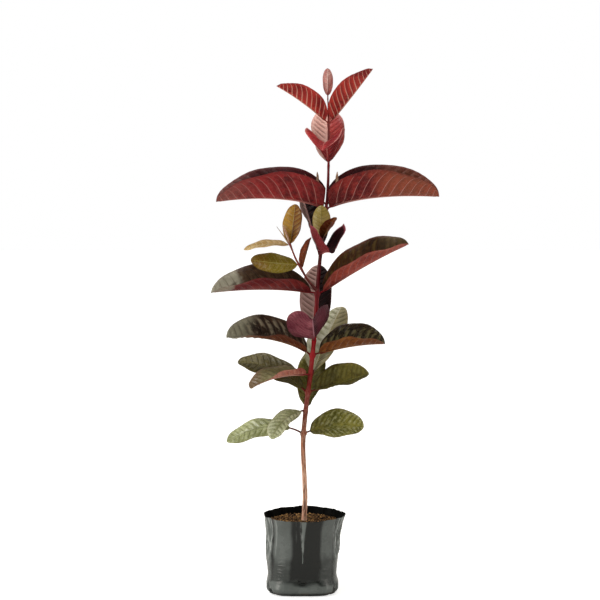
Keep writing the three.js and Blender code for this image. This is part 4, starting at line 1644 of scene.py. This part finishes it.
@dataclass
class GrowBag:
    """The film bag: squarish where it stands, round at its open rim, folded and crinkled.

    Each section gives a height, the half width and half depth there, how square the bag is (2
    is round) and how far it leans to the right.
    """

    sections: tuple[tuple[float, float, float, float, float], ...] = (
        (0, 38, 37, 4.0, 0), (3, 42.5, 41.5, 3.8, 0), (12, 45, 44.5, 3.2, 0), (35, 45, 45, 2.6, 0),
        (65, 46.5, 46, 2.2, 0.8), (85, 48.5, 47.5, 2.0, 1.6), (98, 52, 48.5, 2.0, 2.5),
    )
    folds: tuple[FilmFold, ...] = (
        FilmFold(271.5, 2.8, 7.5, 44, skew=-0.7), FilmFold(262, -0.5, 3.0, 60),
        FilmFold(325.5, -2.2, 1.5, 46, lean=-0.02), FilmFold(331, 2.0, 2.2, 40, lean=0.05, skew=-0.4),
        FilmFold(338, 1.8, 2.6, 36, lean=-0.14, skew=0.5), FilmFold(345, -1.4, 2.4, 46, lean=0.1),
        FilmFold(226, 0.9, 3.6, 40, lean=0.03, skew=0.5), FilmFold(212, -1.8, 2.0, 30, lean=0.03),
        FilmFold(203, 1.6, 3.2, 44, lean=-0.08, skew=-0.5), FilmFold(190, -1.2, 2.6, 36, lean=0.06),
        FilmFold(172, 1.1, 4.0, 40, lean=-0.04, skew=0.5), FilmFold(152, -1.6, 2.0, 34, lean=0.05),
        FilmFold(128, 1.2, 4.0, 40, lean=-0.04, skew=-0.6), FilmFold(92, 2.2, 6.0, 46, skew=0.6),
        FilmFold(60, -1.2, 2.6, 40, lean=0.05), FilmFold(40, 1.3, 3.6, 44, lean=-0.05, skew=0.6),
        FilmFold(24, -1.7, 2.0, 30, lean=0.04), FilmFold(8, 1.2, 3.4, 40, lean=-0.06, skew=-0.5),
    )
    # Broad bands of the wall where grey reflections are painted.
    painted_reflection: tuple[FilmZone, ...] = (
        FilmZone(-50, 11.5), FilmZone(-124, 15), FilmZone(48, 14), FilmZone(130, 14),
    )
    crinkled: tuple[FilmZone, ...] = (
        FilmZone(-19, 17), FilmZone(-161, 17), FilmZone(26, 15), FilmZone(156, 16),
    )
    pulled: tuple[FilmZone, ...] = (
        FilmZone(-118, 26), FilmZone(-52, 18), FilmZone(70, 30), FilmZone(150, 24),
    )
    corners: tuple[float, ...] = (-31, -149, 33, 147)
    # Places the wedge of painted reflection down the front crease; it adds no relief.
    ridge: FilmFold = FilmFold(270, 0.0, 3.4, 44)
    finish: FilmFinish = FilmFinish()
    thickness: float = 0.45
    girth: float = 46.0
    sides: int = 360
    ring_step: float = 0.8
    name: str = "bag_film"

    def wall(self, angle: Array, z: Array, inset: float) -> Array:
        """Gives places on the film's wall.

        Args:
            angle: Ways round, in radians, by ring and side.
            z: Nominal heights, by ring and side.
            inset: How far inside the outer face.

        Returns:
            Places.
        """
        rows = through_knots(np.array(self.sections, float), z[:, 0])
        _, half_x, half_y, square, shift = (rows[:, k : k + 1] for k in range(5))
        cos, sin = np.cos(angle), np.sin(angle)
        reach = (np.abs(cos) ** square + np.abs(sin) ** square) ** (-1 / square)
        push = self.relief(angle, z)
        x = (half_x - inset) * cos * reach + shift + push * cos
        y = (half_y - inset) * sin * reach + push * sin
        rim = smooth_step(80, self.top, z)
        around = np.stack([2.2 * cos, 2.2 * sin, 0 * z], axis=-1)
        ragged = 0.8 * noise(around, 21) + 0.4 * noise(around * 5, 22) - 1.4 * bell(angle - 6.2, 0.3)
        return np.stack([x, y, z + rim * ragged - 0.4 * rim], axis=-1)

    @property
    def top(self) -> float:
        """Gives the height of the rim before it is made ragged."""
        return self.sections[-1][0]

    def ring_heights(self) -> Array:
        """Gives the heights of the film's rings, the same inside and out so that its faces never cross."""
        return np.concatenate([[0.0, 0.3, 0.8, 1.6], np.arange(2.4, self.top, self.ring_step), [self.top]])

    def wall_rings(self, heights: Array, inset: float) -> Array:
        """Gives rings of the wall at some heights, at an inset from its outer face."""
        z, angle = round_grid(heights, self.sides)
        return self.wall(angle, z, inset)

    def spread_out(self, angle: Array, z: Array) -> Array:
        """Gives places on a plain round wall, where noise is looked up."""
        return np.stack([self.girth * np.cos(angle), self.girth * np.sin(angle), z], axis=-1)

    def zone_share(self, zones: tuple[FilmZone, ...], angle: Array, edge: float) -> Array:
        """Gives how far places are inside any of some zones."""
        return np.clip(sum(zone.share(angle, edge) for zone in zones), 0, 1)

    def relief(self, angle: Array, z: Array) -> Array:
        """Gives how far the film stands out of its plain shape.

        Args:
            angle: Ways round, in radians.
            z: Heights.

        Returns:
            Distances.
        """
        place = self.spread_out(angle, z)
        push = self.fold_relief(angle, z)
        crumple = self.zone_share(self.crinkled, angle, 12) * smooth_step(30, 48, z)
        crumple = 0.04 + 0.96 * crumple * (0.6 + 0.4 * smooth_step(self.top, 80, z))
        slanted = place @ np.array([[1.0, 0.0, 0.0], [0.0, 1.0, 0.0], [0.25, 0.2, 1.0]])
        push += crumple * 2.2 * creases(slanted / np.array([8.0, 8.0, 34.0]), 8, 1.7, 1.3)
        push += crumple * 0.6 * creases(slanted / np.array([4.5, 4.5, 15.0]), 13, 1.6, 1.5)
        drawn = self.zone_share(self.pulled, angle, 30) * smooth_step(10, 20, z) * smooth_step(56, 38, z)
        flowing = place / np.array([15.0, 15.0, 2.0]) + 0.35 * noise(place / 9, 3)[..., None]
        push += (0.04 + 0.36 * drawn) * creases(flowing, 1, 1.7, 1.4)
        push += 0.5 * noise(place / 26, 4) * smooth_step(2, 20, z)
        rimward = smooth_step(70, self.top, z)
        push += rimward * (0.7 * np.sin(5 * angle + 0.8) + 0.4 * np.sin(9 * angle + 2.1))
        push += 1.7 * bell(z - 8, 5.5) - 1.1 * bell(z - 22, 7)
        return push + self.foot_relief(angle, z)

    def fold_relief(self, angle: Array, z: Array) -> Array:
        """Gives the share of the relief that the long folds make.

        Args:
            angle: Ways round, in radians.
            z: Heights.

        Returns:
            Distances.
        """
        push = np.zeros_like(z)
        for fold in self.folds:
            climb = np.clip((z - fold.low) / (fold.high - fold.low), 0, 1)
            drift = fold.lean * (z - fold.high) / self.girth
            width = fold.width * (0.12 + 0.88 * climb)
            place = off(angle - drift, fold.azimuth) * self.girth / width
            near = np.where(place > fold.skew, (1 - place) / (1 - fold.skew), (1 + place) / (1 + fold.skew))
            push += fold.height * climb**0.8 * np.clip(near, 0, 1) ** 1.15
        return push

    def foot_relief(self, angle: Array, z: Array) -> Array:
        """Gives the share of the relief that the tucked foot makes.

        Args:
            angle: Ways round, in radians.
            z: Heights.

        Returns:
            Distances.
        """
        low = smooth_step(20, 2, z)
        push = -0.5 * low * np.abs(np.sin(10 * angle + 0.6 * np.sin(3 * angle))) ** 0.7
        for corner in self.corners:
            apart = off(angle, corner) * self.girth
            push -= 3.0 * low * bell(apart, 1.8)
            push += 1.4 * low * (bell(apart - 4, 2.0) + bell(apart + 4, 2.0))
            push -= 1.6 * low * (bell(apart - 8, 1.5) + bell(apart + 8, 1.5))
        return push

    def underside(self, foot: Array) -> Array:
        """Builds the crumpled rings between the middle of the underside and the ring it stands on.

        Args:
            foot: The ring that the bag stands on.

        Returns:
            The rings, from the middle out.
        """
        rings = []
        for share in (0.1, 0.3, 0.5, 0.7, 0.85, 0.95):
            ring = foot * np.array([share, share, 1.0])
            ring[:, 2] = 0.35 * (1 - share) ** 0.5 * (1 + noise(ring / 7.0, 31)) * (share > 0.1)
            rings.append(ring)
        return np.stack(rings)

    def outer_marks(self, heights: Array) -> dict[str, Array]:
        """Marks the outer face where its creases stand out, where it is crinkled, and where grey reflections
        are painted on it.

        Args:
            heights: The heights of its rings.

        Returns:
            Values by ring and by side.
        """
        z, angle = round_grid(heights, self.sides)
        push = self.fold_relief(angle, z) + 0.45 * self.relief(angle, z)
        nearby = sum(np.roll(push, s, axis=1) for s in (-3, -2, 2, 3)) / 4
        place = self.spread_out(angle, z)
        # Broad bands of painted grey reflection, fuller toward the rim.
        reflection_mask = self.zone_share(self.painted_reflection, angle + 0.05 * noise(place / 14, 51), 7)
        reflection_mask = reflection_mask * (0.35 + 0.65 * smooth_step(34, 54, z + 9 * noise(place / 9, 52)))
        # A band of painted reflection near the foot; at the tucked corners it is cut away, leaving them dark
        # like shade.
        low_band = smooth_step(21, 13, z + 5 * noise(place / 8, 53)) * smooth_step(2, 7, z)
        for corner in self.corners:
            apart = np.abs(off(angle, corner)) * self.girth
            tuck = smooth_step(8.0, 4.5, apart + 6 * noise(place / 3.5, 54))
            low_band *= 1 - tuck * smooth_step(17, 11, z)
        # The crinkled zones, which get a painted light grey as well.
        crinkle = self.zone_share(self.crinkled, angle + 0.04 * noise(place / 7, 55), 6)
        crinkle *= 0.55 + 0.45 * smooth_step(30, 48, z + 9 * noise(place / 9, 56))
        # A wedge of painted reflection down the front crease.
        climb = np.clip((z - self.ridge.low) / (self.ridge.high - self.ridge.low), 0, 1)
        apart = np.abs(off(angle, self.ridge.azimuth)) * self.girth
        wedge = smooth_step(1.0, 0.5, apart / np.maximum(self.ridge.width * climb, 0.2)) * (climb > 0)
        return {
            "film_crest": np.clip((push - nearby) / 0.42 - 0.1, 0, 1),
            "film_stretch": np.maximum.reduce([reflection_mask, 1.05 * low_band, 0.95 * crinkle, 1.4 * wedge]),
            "film_crinkle": crinkle,
        }

    def body(self) -> MeshPart:
        """Builds the closed film: up the outside, over the rim and down the inside.

        Returns:
            The film.
        """
        heights = self.ring_heights()
        outside = self.wall_rings(heights, 0.0)
        outside[0, :, 2] = 0.0
        underside = self.underside(outside[0])
        inside = self.wall_rings(heights[heights > self.thickness + 1][::-1], self.thickness)
        lip = (outside[-1:] + inside[:1]) / 2 + np.array([0, 0, self.thickness / 3])
        floor = inside[-1:] * np.array([0.5, 0.5, 1.0])
        rings = np.concatenate([underside, outside, lip, inside, floor])
        first, last = len(underside), len(underside) + len(heights)
        marks = {}
        for name, values in self.outer_marks(heights).items():
            marks[name] = np.zeros(rings.shape[:2])
            marks[name][first:last] = values
        film = lofted(rings, marks)
        film.slot = np.array([min(face) >= last * self.sides for face in film.faces], int)
        return film

    def material(self) -> Material:
        """Builds the black film: glossy, with painted grey reflections in broad bands and painted highlights
        along its crests, where creased film also whitens.

        Returns:
            The material.
        """
        finish = self.finish
        material, graph, shader = new_material("black film")
        place = graph.place()
        x, y, height = graph.split(place)
        mottle = graph.mottle(place, 38.0, 420.0, 260.0)
        # The painted grey reflections.
        reflection_mask = graph.times(graph.mark("film_stretch"), graph.blend(mottle["Broad"], 0.75, 1.0))
        colour = graph.tint(paint(finish.colour), finish.painted_reflection, reflection_mask, finish.painted_reflection_share)
        # Painted highlights along the crests, most in the crinkled zones; creased film also whitens there.
        crest_glint = graph.times(graph.mark("film_crest"), graph.blend(graph.mark("film_crinkle"), 0.25, 0.7))
        crest_glint = graph.times(crest_glint, graph.step(graph.cloud(place, 85.0), 0.3, 0.64))
        colour = graph.tint(colour, finish.crest_highlight, crest_glint)
        foot = graph.step(height, 9 * MM, 1 * MM, 0.5)
        rim = graph.step(height, 92 * MM, 99 * MM, 0.2)
        dirty = graph.times(graph.math("ADD", foot, rim), graph.step(mottle["Broad"], 0.35, 0.9))
        colour = graph.tint(colour, finish.soiled, dirty)
        colour = graph.tint(colour, finish.speck, mottle["Spots"], graph.scaled(dirty, 1.2, 0.04))
        rough = graph.scaled(mottle["Broad"], 0.08, finish.roughness)
        worn = graph.math("ADD", graph.times(reflection_mask, 0.25), graph.math("ADD", dirty, crest_glint))
        grain = graph.cloud(graph.joined(x, y, graph.times(height, 3.0)), 300.0)
        graph.fill(
            shader, Base_Color=colour, Roughness=graph.scaled(worn, 0.35, rough),
            Normal=graph.bump(grain, 0.12, 0.6), Specular_IOR_Level=0.42,
        )
        return material

    def inner_material(self) -> Material:
        """Builds the dull inner face of the film, with a bloom of dust from the mix."""
        material, graph, shader = new_material("black film inside")
        mottle = graph.mottle(graph.place(), 38.0, 420.0, 260.0)
        colour = graph.tint(paint(self.finish.inner), self.finish.soiled, mottle["Spots"], 0.25)
        rough = graph.scaled(mottle["Broad"], 0.15, 0.6)
        normal = graph.bump(mottle["Fine"], 0.1, 0.6)
        graph.fill(shader, Base_Color=colour, Roughness=rough, Normal=normal, Specular_IOR_Level=0.1)
        return material

    def build(self) -> None:
        """Makes the bag."""
        film = make_object(self.name, [self.body()], [self.material(), self.inner_material()])
        seat(film, self.finish.slot, "bag")


@dataclass(frozen=True)
class SoilFinish:
    """The potting mix's browns."""

    slot: str = "potting_mix"
    deep: str = "100704"
    middle: str = "3C2212"
    light: str = "C0945E"
    fibre: str = "9C7858"


@dataclass
class PottingMix:
    """The mix that fills the bag: a crumbly top, loose crumbs and fibres."""

    bag: GrowBag
    stem: Stem
    finish: SoilFinish = SoilFinish()
    top: float = 89.5
    foot: float = 2.4
    edge_dip: float = 1.5
    inset: float = 1.2
    deep_inset: float = 4.0
    deep_to: float = 78.0
    shown_from: float = 80.0
    crumb_margin: float = 0.75
    rings: int = 96
    crumbs: int = 1100
    crumb_clear: float = 5.2
    fibres: int = 70
    fibre_clear: float = 5.0
    fibre_field: float = 44.0
    seed: int = 5

    @property
    def centre(self) -> float:
        """Gives how far to the right the stem's foot stands."""
        return self.stem.knots[0].x

    def surface_height(self, x: Array, y: Array, share: Array) -> Array:
        """Gives the height of the crumbly top.

        Args:
            x: Places to the right.
            y: Places away.
            share: Shares of the way from the middle to the film.

        Returns:
            Heights.
        """
        place = np.stack([x, y, np.zeros_like(x)], axis=-1)
        lumps = 1 - np.abs(noise(place / 4.2, 41)) * 2
        clods = np.abs(noise(place / 1.7, 43))
        rough = 0.9 * layered_noise(place / 11, 42) + 0.55 * lumps + 0.5 * clods
        near_stem = smooth_step(3, 9, np.hypot(x - self.centre, y))
        return self.top - self.edge_dip * share**4 + 0.75 * (rough - 0.5) * (0.35 + 0.65 * near_stem)

    def body(self) -> MeshPart:
        """Builds the closed mass of the mix.

        Returns:
            The mass.
        """
        heights = self.bag.ring_heights()
        heights = heights[(heights > self.shown_from) & (heights < self.top - self.edge_dip - 0.3)]
        shown = self.bag.wall_rings(heights, self.inset)
        deep = self.bag.wall_rings(np.linspace(self.foot, self.deep_to, 10), self.deep_inset)
        middle = np.array([self.centre, 0.0, 0.0])
        top = []
        for share in np.linspace(1, 0.02, self.rings):
            ring = middle + (shown[-1] - middle) * share
            ring[:, 2] = self.surface_height(ring[:, 0], ring[:, 1], np.full(len(ring), share))
            top.append(ring)
        return lofted(np.concatenate([deep, shown, np.stack(top)]), {})

    def crumb_parts(self) -> list[MeshPart]:
        """Scatters crumbs over the top.

        Returns:
            The closed crumbs.
        """
        rng = np.random.default_rng(self.seed)
        ball = self.ball()
        points = ball.points
        parts = []
        for index in range(self.crumbs):
            share, angle = math.sqrt(rng.uniform(0.004, 0.97)), rng.uniform(0, 2 * math.pi)
            inset = self.inset + self.crumb_margin
            edge = self.bag.wall(np.array([[angle]]), np.array([[self.top - self.edge_dip]]), inset)[0, 0]
            middle = np.array([self.centre, 0.0])
            x, y = middle + (edge[:2] - middle) * share
            if math.hypot(x - self.centre, y) < self.crumb_clear:
                continue
            size = 0.4 + 1.2 * rng.random() ** 3
            shape = points * size * rng.uniform(0.65, 1.25, 3)
            shape *= 1 + 0.3 * noise(points * 1.6 + index, self.seed)[:, None]
            spin = rng.uniform(0, 2 * math.pi)
            cos, sin = math.cos(spin), math.sin(spin)
            turn = np.array([[cos, -sin, 0], [sin, cos, 0], [0, 0, 1]])
            height = float(self.surface_height(np.array([x]), np.array([y]), np.array([share]))[0])
            place = np.array([x, y, height + 0.25 * size])
            tint = np.full(len(points), rng.random())
            parts.append(MeshPart(shape @ turn.T + place, ball.faces, {"crumb_tint": tint}))
        return parts

    @staticmethod
    def ball() -> MeshPart:
        """Builds a small round pattern."""
        tilts, turns = np.linspace(0.1, 0.9, 5) * math.pi, np.arange(8) * math.pi / 4
        tilt, turn = np.meshgrid(tilts, turns, indexing="ij")
        rings = np.stack([np.sin(tilt) * np.cos(turn), np.sin(tilt) * np.sin(turn), -np.cos(tilt)], axis=-1)
        return lofted(rings, {})

    def fibre_parts(self) -> list[MeshPart]:
        """Lays short coir fibres over the top.

        Returns:
            The closed fibres.
        """
        rng = np.random.default_rng(self.seed + 1)
        parts = []
        for _ in range(self.fibres):
            share, angle = math.sqrt(rng.uniform(0.03, 0.8)), rng.uniform(0, 2 * math.pi)
            out = self.fibre_field * share
            middle = (self.centre + out * math.cos(angle), out * math.sin(angle))
            way, length = rng.uniform(0, 2 * math.pi), rng.uniform(5, 13)
            t = np.linspace(-0.5, 0.5, 9)
            bend = rng.uniform(-0.35, 0.35)
            x = middle[0] + length * (t * math.cos(way) - bend * t * t * math.sin(way))
            y = middle[1] + length * (t * math.sin(way) + bend * t * t * math.cos(way))
            apart = np.hypot(x - self.centre, y)
            shares = np.clip(apart / self.bag.girth, 0, 1)
            if shares.max() > 0.95 or apart.min() < self.fibre_clear:
                continue
            z = self.surface_height(x, y, shares) + 0.3 + 0.5 * np.abs(t)
            centres = np.stack([x, y, z], axis=-1)
            _, lefts, ups = along(centres)
            radius = rng.uniform(0.1, 0.24) * (1 - 0.6 * np.abs(2 * t) ** 3)
            rings = tube(centres, np.stack([radius, radius], axis=1), lefts, ups, 6)
            parts.append(lofted(rings, {}, slot=1))
        return parts

    def material(self) -> Material:
        """Builds the mix's browns and its coarse grain.

        Returns:
            The material.
        """
        finish = self.finish
        material, graph, shader = new_material("potting mix")
        place = graph.place()
        mottle = graph.mottle(place, 260.0, 900.0, 420.0)
        colour = graph.tint(paint(finish.deep), finish.middle, mottle["Broad"])
        colour = graph.tint(colour, finish.light, graph.step(mottle["Fine"], 0.5, 0.9), 0.8)
        crumb = graph.mark("crumb_tint")
        colour = graph.tint(colour, finish.light, graph.step(crumb, 0.6, 1.0, 0.9))
        shadow = graph.times(graph.step(crumb, 0.5, 0.15), graph.step(crumb, 0.0, 0.01))
        colour = graph.tint(colour, finish.deep, shadow, 0.9)
        rough = graph.scaled(mottle["Fine"], 0.1, 0.86)
        normal = graph.bump(graph.blend(0.5, mottle["Fine"], graph.cloud(place, 2600.0)), 0.5)
        graph.fill(shader, Base_Color=colour, Roughness=rough, Normal=normal, Specular_IOR_Level=0.25)
        return material

    def fibre_material(self) -> Material:
        """Builds the fibres' dry skin.

        Returns:
            The material.
        """
        material, graph, shader = new_material("coir fibre")
        mottle = graph.mottle(graph.place(), 300.0, 1600.0, 900.0)
        colour = graph.tint(paint(self.finish.middle), self.finish.fibre, mottle["Broad"])
        graph.fill(shader, Base_Color=colour, Roughness=graph.scaled(mottle["Fine"], 0.1, 0.75))
        return material

    def build(self) -> None:
        """Makes the mix, and the crumbs and fibres on it."""
        material = self.material()
        seat(make_object("soil_mass", [self.body()], [material]), self.finish.slot, "soil")
        loose = self.crumb_parts() + self.fibre_parts()
        crumbs = make_object("soil_crumbs", loose, [material, self.fibre_material()])
        seat(crumbs, self.finish.slot)


# --- studio ---


@dataclass(frozen=True)
class SoftBox:
    """A soft rectangular light, in metres, aimed at a height on the plant."""

    name: str
    place: Triple
    size: tuple[float, float]
    watts: float
    aim: float
    colour: Triple = (1.0, 0.95, 0.88)


@dataclass(frozen=True)
class Studio:
    """A plain pale floor, soft lights and the camera. Lengths here are metres."""

    camera_place: Triple = (-0.003, -1.9, 0.494)
    camera_aim: Triple = (-0.003, 0.0, 0.372)
    lens: float = 90.0
    sensor: float = 36.0
    clip: tuple[float, float] = (0.05, 60.0)
    floor_radius: float = 14.0
    floor_sides: int = 96
    floor_colour: str = "D8D8D6"
    floor_glow: float = 0.7
    sky_low: float = 0.08
    sky_high: float = 0.4
    sky_side: float = 0.6
    sun_from: Triple = (-0.45, -0.15, 1.0)
    sun_strength: float = 1.3
    sun_width: float = 20.0
    lights: tuple[SoftBox, ...] = (
        SoftBox("key_light", (-1.9, -1.2, 0.7), (0.7, 1.2), 18.0, 0.35),
        SoftBox("fill_light", (1.9, -1.0, 0.7), (0.6, 1.2), 7.0, 0.3),
        SoftBox("top_light", (0.2, 0.1, 2.2), (1.0, 1.0), 20.0, 0.4),
    )

    @staticmethod
    def hang(name: str, data: bpy.types.ID, place: tuple[float, ...], way: Vector) -> Piece:
        """Puts a lamp or camera in the scene.

        Args:
            name: Its name.
            data: The lamp or camera.
            place: Where it hangs.
            way: Where it faces.

        Returns:
            The object.
        """
        hung = bpy.data.objects.new(name, data)
        hung.location = place
        hung.rotation_euler = way.to_track_quat("-Z", "Y").to_euler()
        bpy.context.scene.collection.objects.link(hung)
        return hung

    def floor(self) -> None:
        """Lays the floor."""
        turns = np.linspace(0, 2 * math.pi, self.floor_sides, endpoint=False)
        rim = [(self.floor_radius * math.cos(a), self.floor_radius * math.sin(a), 0.0) for a in turns]
        mesh = bpy.data.meshes.new("floor")
        mesh.from_pydata(rim, [], [tuple(range(len(rim)))])
        material, graph, shader = new_material("pale floor")
        seen = graph.add("ShaderNodeLightPath").outputs["Is Camera Ray"]
        glow = graph.times(seen, self.floor_glow)
        graph.fill(shader, Base_Color=paint(self.floor_colour), Roughness=0.85, Specular_IOR_Level=0.1)
        graph.fill(shader, Emission_Color=(1.0, 1.0, 1.0), Emission_Strength=glow)
        mesh.materials.append(material)
        floor = bpy.data.objects.new("floor", mesh)
        bpy.context.scene.collection.objects.link(floor)

    def light(self, box: SoftBox) -> None:
        """Hangs a soft light.

        Args:
            box: The light.
        """
        lamp = bpy.data.lights.new(box.name, "AREA")
        lamp.shape = "RECTANGLE"
        lamp.size, lamp.size_y = box.size
        lamp.energy = box.watts
        lamp.color = box.colour
        self.hang(box.name, lamp, box.place, Vector((0.0, 0.0, box.aim)) - Vector(box.place))

    def sun(self) -> None:
        """Hangs the broad light that falls evenly over plant and floor."""
        lamp = bpy.data.lights.new("sky_light", "SUN")
        lamp.energy = self.sun_strength
        lamp.angle = math.radians(self.sun_width)
        self.hang("sky_light", lamp, self.sun_from, -Vector(self.sun_from))

    def surroundings(self) -> None:
        """Fills the room with plain white light, brighter above and at both sides."""
        world = bpy.data.worlds.new("studio")
        world.use_nodes = True
        bpy.context.scene.world = world
        world.node_tree.nodes.clear()
        graph = Graph(world.node_tree)
        x, _, z = graph.split(graph.add("ShaderNodeTexCoord").outputs["Generated"])
        strength = graph.blend(graph.step(z, 0.1, 0.9), self.sky_low, self.sky_high)
        aside = graph.step(graph.math("ABSOLUTE", x), 0.72, 0.95, self.sky_side)
        strength = graph.math("ADD", strength, aside)
        lit = graph.fill(graph.add("ShaderNodeBackground"), Color=(1.0, 0.96, 0.9), Strength=strength)
        seen = graph.fill(graph.add("ShaderNodeBackground"), Color=(1.0, 1.0, 1.0), Strength=1.0)
        chosen = graph.add("ShaderNodeMixShader")
        by_camera = graph.add("ShaderNodeLightPath").outputs["Is Camera Ray"]
        for socket, value in zip(chosen.inputs, (by_camera, lit.outputs[0], seen.outputs[0]), strict=True):
            graph.feed(socket, value)
        graph.fill(graph.add("ShaderNodeOutputWorld"), Surface=chosen.outputs[0])

    def camera(self) -> None:
        """Sets the camera at the front, a little above the middle of the plant."""
        data = bpy.data.cameras.new("camera")
        data.lens = self.lens
        data.sensor_width = self.sensor
        data.clip_start, data.clip_end = self.clip
        way = Vector(self.camera_aim) - Vector(self.camera_place)
        bpy.context.scene.camera = self.hang("camera", data, self.camera_place, way)

    def build(self) -> None:
        """Makes the floor, lights, surroundings and camera."""
        self.camera()
        self.floor()
        self.sun()
        for box in self.lights:
            self.light(box)
        self.surroundings()
        bpy.context.scene.view_settings.view_transform = "Standard"
        LOG.info("studio: %d lights", len(self.lights))


def main() -> None:
    """Builds every piece in order, from the studio and bag up to the tip bud."""
    logging.basicConfig(level=logging.INFO, format="%(name)s: %(message)s")
    vein_group()
    mottle_group()
    Studio().build()
    stem, bag, materials = Stem(), GrowBag(), LeafMaterials()
    bag.build()
    PottingMix(bag, stem).build()
    stem.build()
    Foliage(stem, materials).build()
    for shoot in SHOOTS:
        shoot.build(stem, materials)
    TipBud().build(stem, materials)


if __name__ == "__main__":
    main()
